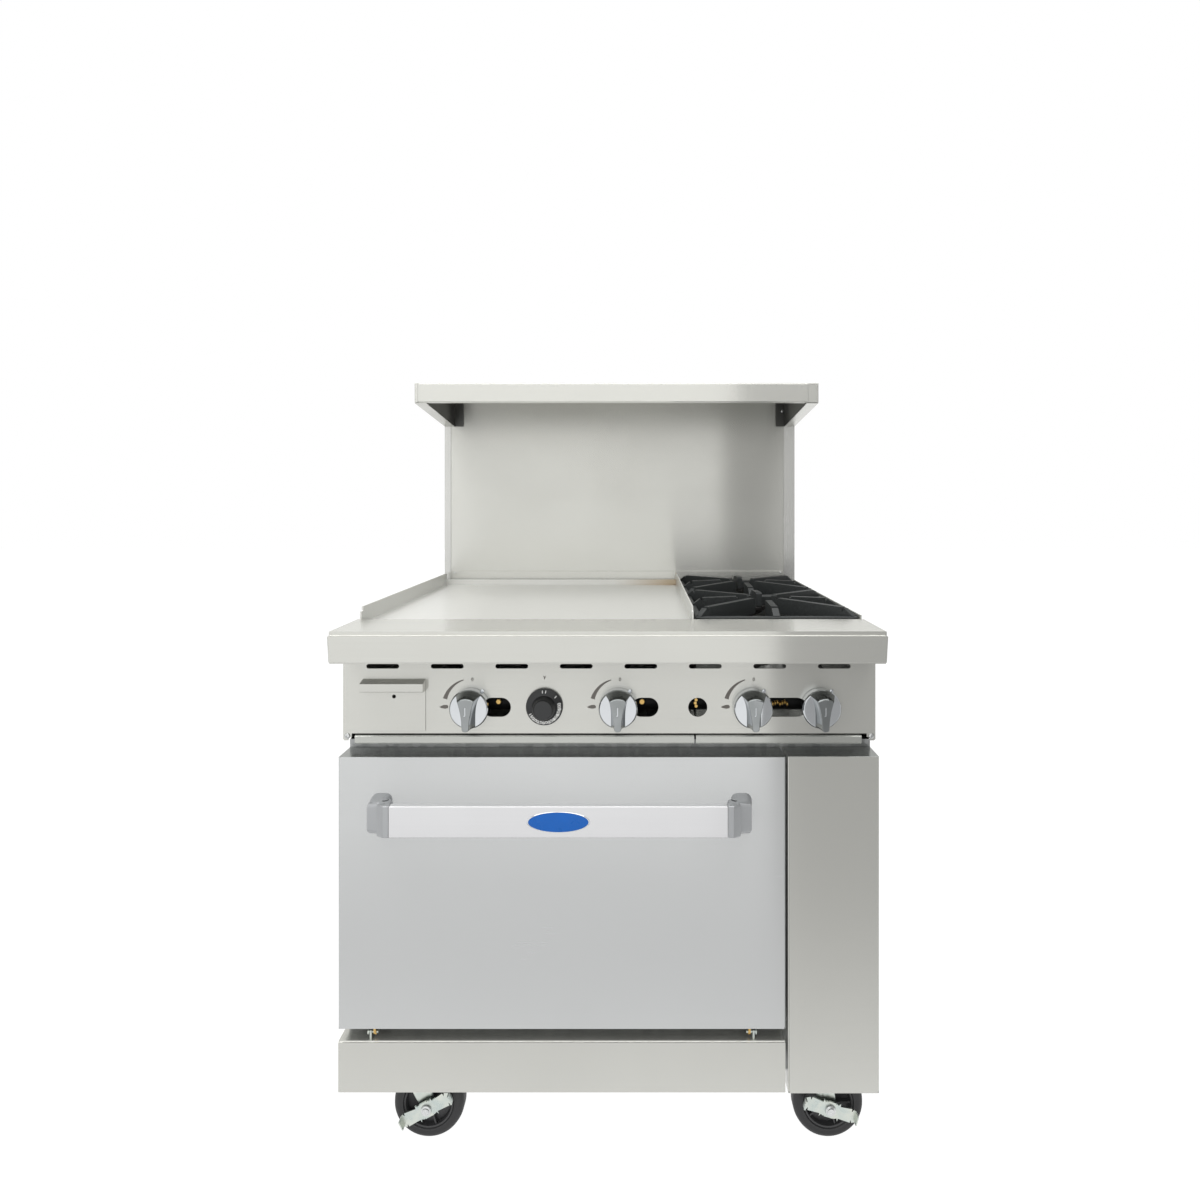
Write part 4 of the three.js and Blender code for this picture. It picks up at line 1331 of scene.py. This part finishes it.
# Oven rack, back of the range and gas fittings
def add_oven_rack():
    low, high = node_box("oven_rack")
    z = (low.z + high.z) / 2
    r = 3.4
    frame_line = filleted(
        [
            Vector((low.x + r, low.y + r, z)), Vector((high.x - r, low.y + r, z)),
            Vector((high.x - r, high.y - r, z)), Vector((low.x + r, high.y - r, z)),
        ],
        14, closed=True,
    )
    parts = [tube(frame_line, r, 12, closed=True)]
    count = 23
    for i in range(1, count + 1):
        x = low.x + (high.x - low.x) * i / (count + 1)
        parts.append(tube([(x, low.y + 4, z + 1), (x, high.y - 4, z + 1)], 2.0, 8))
    for share in (0.33, 0.67):
        d = low.y + (high.y - low.y) * share
        parts.append(tube([(low.x + 4, d, z - 1), (high.x - 4, d, z - 1)], 2.6, 10))
    make("oven_rack_wires", merged(*parts), "oven_rack", "chrome", "chrome", replaces=["oven_rack"])


INLET_X, INLET_HEIGHT, INLET_HOLE = 420, 800, 50
MANIFOLD_DEPTH, MANIFOLD_RADIUS = 106, 16.7


def add_rear_panel():
    """Back sheet with the inlet hole, rows of pressed louvres and edge screws."""
    low, high = node_box("rear_panel")
    hole = pill(INLET_X, INLET_HEIGHT, INLET_HOLE, INLET_HOLE, 12)
    skin = plate([rectangle(low.x, high.x, low.z, high.z), hole], low.y, SHEET, 0.3)
    parts = [skin]
    for column in (-250, 0, 250):
        for row in range(6):
            z = 470 + row * 34
            ridge = prism(
                [(high.y - 0.4, z), (high.y - 0.4, z + 14), (high.y + 0.2, z + 13), (high.y + 0.9, z + 2)],
                "x", (column - 80, column + 80), 0.2, 1,
            )
            parts.append(ridge)
    for x in (low.x + 14, -150, 150, high.x - 14):
        for z in (low.z + 16, (low.z + high.z) / 2 - 120, high.z - 16):
            parts.append(painted(screw(x, high.y - 1.4, z, 4, "d", 1), 1))
    make(
        "rear_sheet", merged(*parts), "range", "galvanised", "galvanised", "screw_steel",
        replaces=["rear_panel"],
    )


def add_gas_train():
    """Manifold with capped ends, tees, and a threaded inlet at the back."""
    low, high = node_box("gas_manifold")
    d, z, radius = MANIFOLD_DEPTH, INLET_HEIGHT, MANIFOLD_RADIUS
    pipe = lathe(
        [(0, low.x), (radius - 1.5, low.x), (radius, low.x + 1.5), (radius, high.x - 1.5),
         (radius - 1.5, high.x), (0, high.x)],
        (0, d, z), "x", 40,
    )
    feed_end = high.y
    profile = [(0, d), (13.4, d), (13.4, feed_end - 26)]
    for i in range(12):
        start = feed_end - 25 + i * 2
        profile += [(12.2, start), (13.3, start + 1)]
    profile += [(12.4, feed_end), (9.6, feed_end), (9.6, feed_end - 20), (0, feed_end - 20)]
    feed = lathe(profile, (INLET_X, 0, z), "d", 32)
    make(
        "manifold_pipe", merged(pipe, feed), "range", "black_pipe", "black_pipe",
        replaces=["gas_manifold"],
    )


PILOT_DEPTH = 82
FITTING_DEPTH = 84


def add_pilots():
    """Brass pilot tips and their tubes, seen through the lighting ports."""
    parts = []
    for x, sides in ((-194, 6), (56.2, 20)):
        tip = [(0, 0), (4.2, 0), (5, 1), (5, 4), (3.4, 5), (0, 5)]
        parts.append(lathe(tip, (x, PILOT_DEPTH, 803), "d", sides))
    bead = [(0, -3), (2.6, -3), (3.3, -1), (3.3, 1.5), (1.5, 3), (0, 3)]
    for i in range(4):
        spot = (149 + (i % 2) * 1.5, FITTING_DEPTH, 812 - i * 5.4)
        parts.append(lathe(bead, spot, "d", 12))
    ring = [(0, -1.6), (3.2, -1.6), (4.0, -0.6), (4.0, 0.6), (3.2, 1.6), (0, 1.6)]
    for i in range(7):
        spot = (284 + i * 4.2, FITTING_DEPTH, 799 + (i % 3) * 1.6)
        parts.append(lathe(ring, spot, "x", 12))
    make("pilot_fittings", merged(*parts), "range", "brass", "brass")


CARRIED = {
    "base_frame": ("galvanised", 0.5),
    "left_side_panel": ("side_steel", 0.4),
    "right_side_panel": ("side_steel", 0.4),
    "oven_front_frame": ("galvanised", 0.3),
    # painted shade: this divider is near-black steel for the shadow seen through the vents
    "service_divider": ("shade_steel", 0.3),
    "oven_left_wall": ("oven_enamel", 0.4),
    "oven_right_wall": ("oven_enamel", 0.4),
    "oven_ceiling": ("oven_enamel", 0.3),
    "oven_rear_wall": ("oven_enamel", 0.3),
    "oven_deck": ("oven_enamel", 0.6),
    "oven_burner": ("burner_iron", 1.0),
    "griddle_plate": ("griddle_steel", 1.2),
    "grease_trough": ("griddle_steel", 0.4),
    "griddle_burner_left": ("burner_iron", 1.0),
    "griddle_burner_right": ("burner_iron", 1.0),
    # painted shade: this divider is near-black steel for the shadow seen through the lighting ports
    "burner_divider": ("shade_steel", 0.3),
    "griddle_valve_left": ("brass", 0.6),
    "griddle_valve_right": ("brass", 0.6),
    "front_burner_valve": ("brass", 0.6),
    "rear_burner_valve": ("brass", 0.6),
    "oven_thermostat": ("zinc", 1.0),
    "right_side_rail": ("side_steel", 0.8),
    "backguard_panel": ("stainless", 0.5),
    "flue_riser": ("post_steel", 0.6),
}


def dress_cad_nodes():
    """CAD nodes that keep their shape get softened edges and a finish."""
    for node, (finish, edge) in CARRIED.items():
        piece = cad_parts[node]
        piece.data.materials.clear()
        piece.data.materials.append(MATERIALS[finish])
        bevel = piece.modifiers.new("edges", "BEVEL")
        bevel.width = edge * MM
        bevel.segments = 2
        bevel.limit_method = "ANGLE"
        bevel.angle_limit = math.radians(35)
        bevel.harden_normals = False


# Light and floor
def add_area_light(name, place, target, size, radiance, colour=(1, 1, 1)):
    """A soft box of width x height metres whose face has the given radiance."""
    data = bpy.data.lights.new(name, "AREA")
    data.shape = "RECTANGLE"
    data.size, data.size_y = size
    data.energy = radiance * math.pi * size[0] * size[1]
    data.color = colour
    light = bpy.data.objects.new(name, data)
    light.location = place
    light.rotation_euler = (Vector(target) - Vector(place)).to_track_quat("-Z", "Z").to_euler()
    light.visible_camera = False
    bpy.context.scene.collection.objects.link(light)


def add_world():
    """A pale room: white behind the range, dimmer overhead and to the right of the camera."""
    world = bpy.data.worlds.new("room")
    world.use_nodes = True
    bpy.context.scene.world = world
    tree = world.node_tree
    tree.nodes.clear()
    new, link = tree.nodes.new, tree.links.new
    split = new("ShaderNodeSeparateXYZ")
    link(new("ShaderNodeTexCoord").outputs["Generated"], split.inputs["Vector"])

    def between(axis, start, end, low, high):
        node = new("ShaderNodeMapRange")
        node.interpolation_type = "SMOOTHSTEP"
        link(split.outputs[axis], node.inputs["Value"])
        for key, value in (("From Min", start), ("From Max", end), ("To Min", low), ("To Max", high)):
            node.inputs[key].default_value = value
        return node.outputs["Result"]

    def times(first, second):
        node = new("ShaderNodeMath")
        node.operation = "MULTIPLY"
        for index, value in enumerate((first, second)):
            if isinstance(value, float):
                node.inputs[index].default_value = value
            else:
                link(value, node.inputs[index])
        return node.outputs["Value"]

    sideways = between("X", 0.05, 0.8, 1.0, 0.6)
    leftwards = between("X", -0.95, -0.35, 0.72, 1.0)
    upwards = between("Z", 0.45, 1.0, 1.0, 0.6)
    backwards = between("Y", -0.6, 0.3, 0.6, 1.0)
    room = new("ShaderNodeBackground")
    room.inputs["Color"].default_value = (1.0, 1.0, 0.985, 1)
    strength = times(times(sideways, leftwards), times(upwards, backwards))
    link(strength, room.inputs["Strength"])
    white = new("ShaderNodeBackground")
    white.inputs["Color"].default_value = (1, 1, 1, 1)
    mix = new("ShaderNodeMixShader")
    link(new("ShaderNodeLightPath").outputs["Is Camera Ray"], mix.inputs["Fac"])
    link(room.outputs["Background"], mix.inputs[1])
    link(white.outputs["Background"], mix.inputs[2])
    link(mix.outputs["Shader"], new("ShaderNodeOutputWorld").inputs["Surface"])


def add_floor():
    """A white sweep that grows dimmer towards the room in front of the range."""
    size = 14
    mesh = bpy.data.meshes.new("floor")
    corners = [(-size, -size, 0), (size, -size, 0), (size, size, 0), (-size, size, 0)]
    mesh.from_pydata(corners, [], [(0, 1, 2, 3)])
    floor = bpy.data.objects.new("floor", mesh)
    bpy.context.scene.collection.objects.link(floor)
    finish = Finish("floor_white", (0.12, 0.12, 0.12), 0.9)
    finish.set("Emission Color", (1, 1, 1, 1))
    finish.set("Specular IOR Level", 0.1)
    place = finish.node("TexCoord").outputs["Object"]
    depth = finish.node("SeparateXYZ", {"Vector": place}).outputs["Y"]
    # painted light: the floor glows by its own emission, brightest next to the range and fading towards
    # the front
    glow = finish.spread(depth, 0.37, 0.98, FRONT - 0.75, FRONT - 0.03)
    finish.drive("Emission Strength", glow)
    mesh.materials.append(finish.material)


add_shelf()
add_shelf_brackets()
add_backguard_trim()
add_ledge()
add_control_panel()
add_panel_print()
add_lighting_studs()
add_grease_drawer()
add_crumb_trays()
add_knobs()
add_dial()
add_door()
add_handle()
add_kick_plate()
add_service_panel()
add_griddle_guard()
add_grates()
add_burner_heads()
add_wheels()
add_forks()
add_brake_levers()
add_oven_rack()
add_rear_panel()
add_gas_train()
add_pilots()
dress_cad_nodes()

add_world()
add_floor()
add_area_light("front_softbox", (-1.03, FRONT - 0.96, 1.12), (-1.03, 0, 1.12), (3.0, 2.24), 0.63)
add_area_light("overhead_box", (-0.1, FRONT - 0.2, 2.6), (-0.1, FRONT - 0.2, 0), (3.0, 1.6), 3.2)
bpy.context.scene.view_settings.view_transform = "Standard"
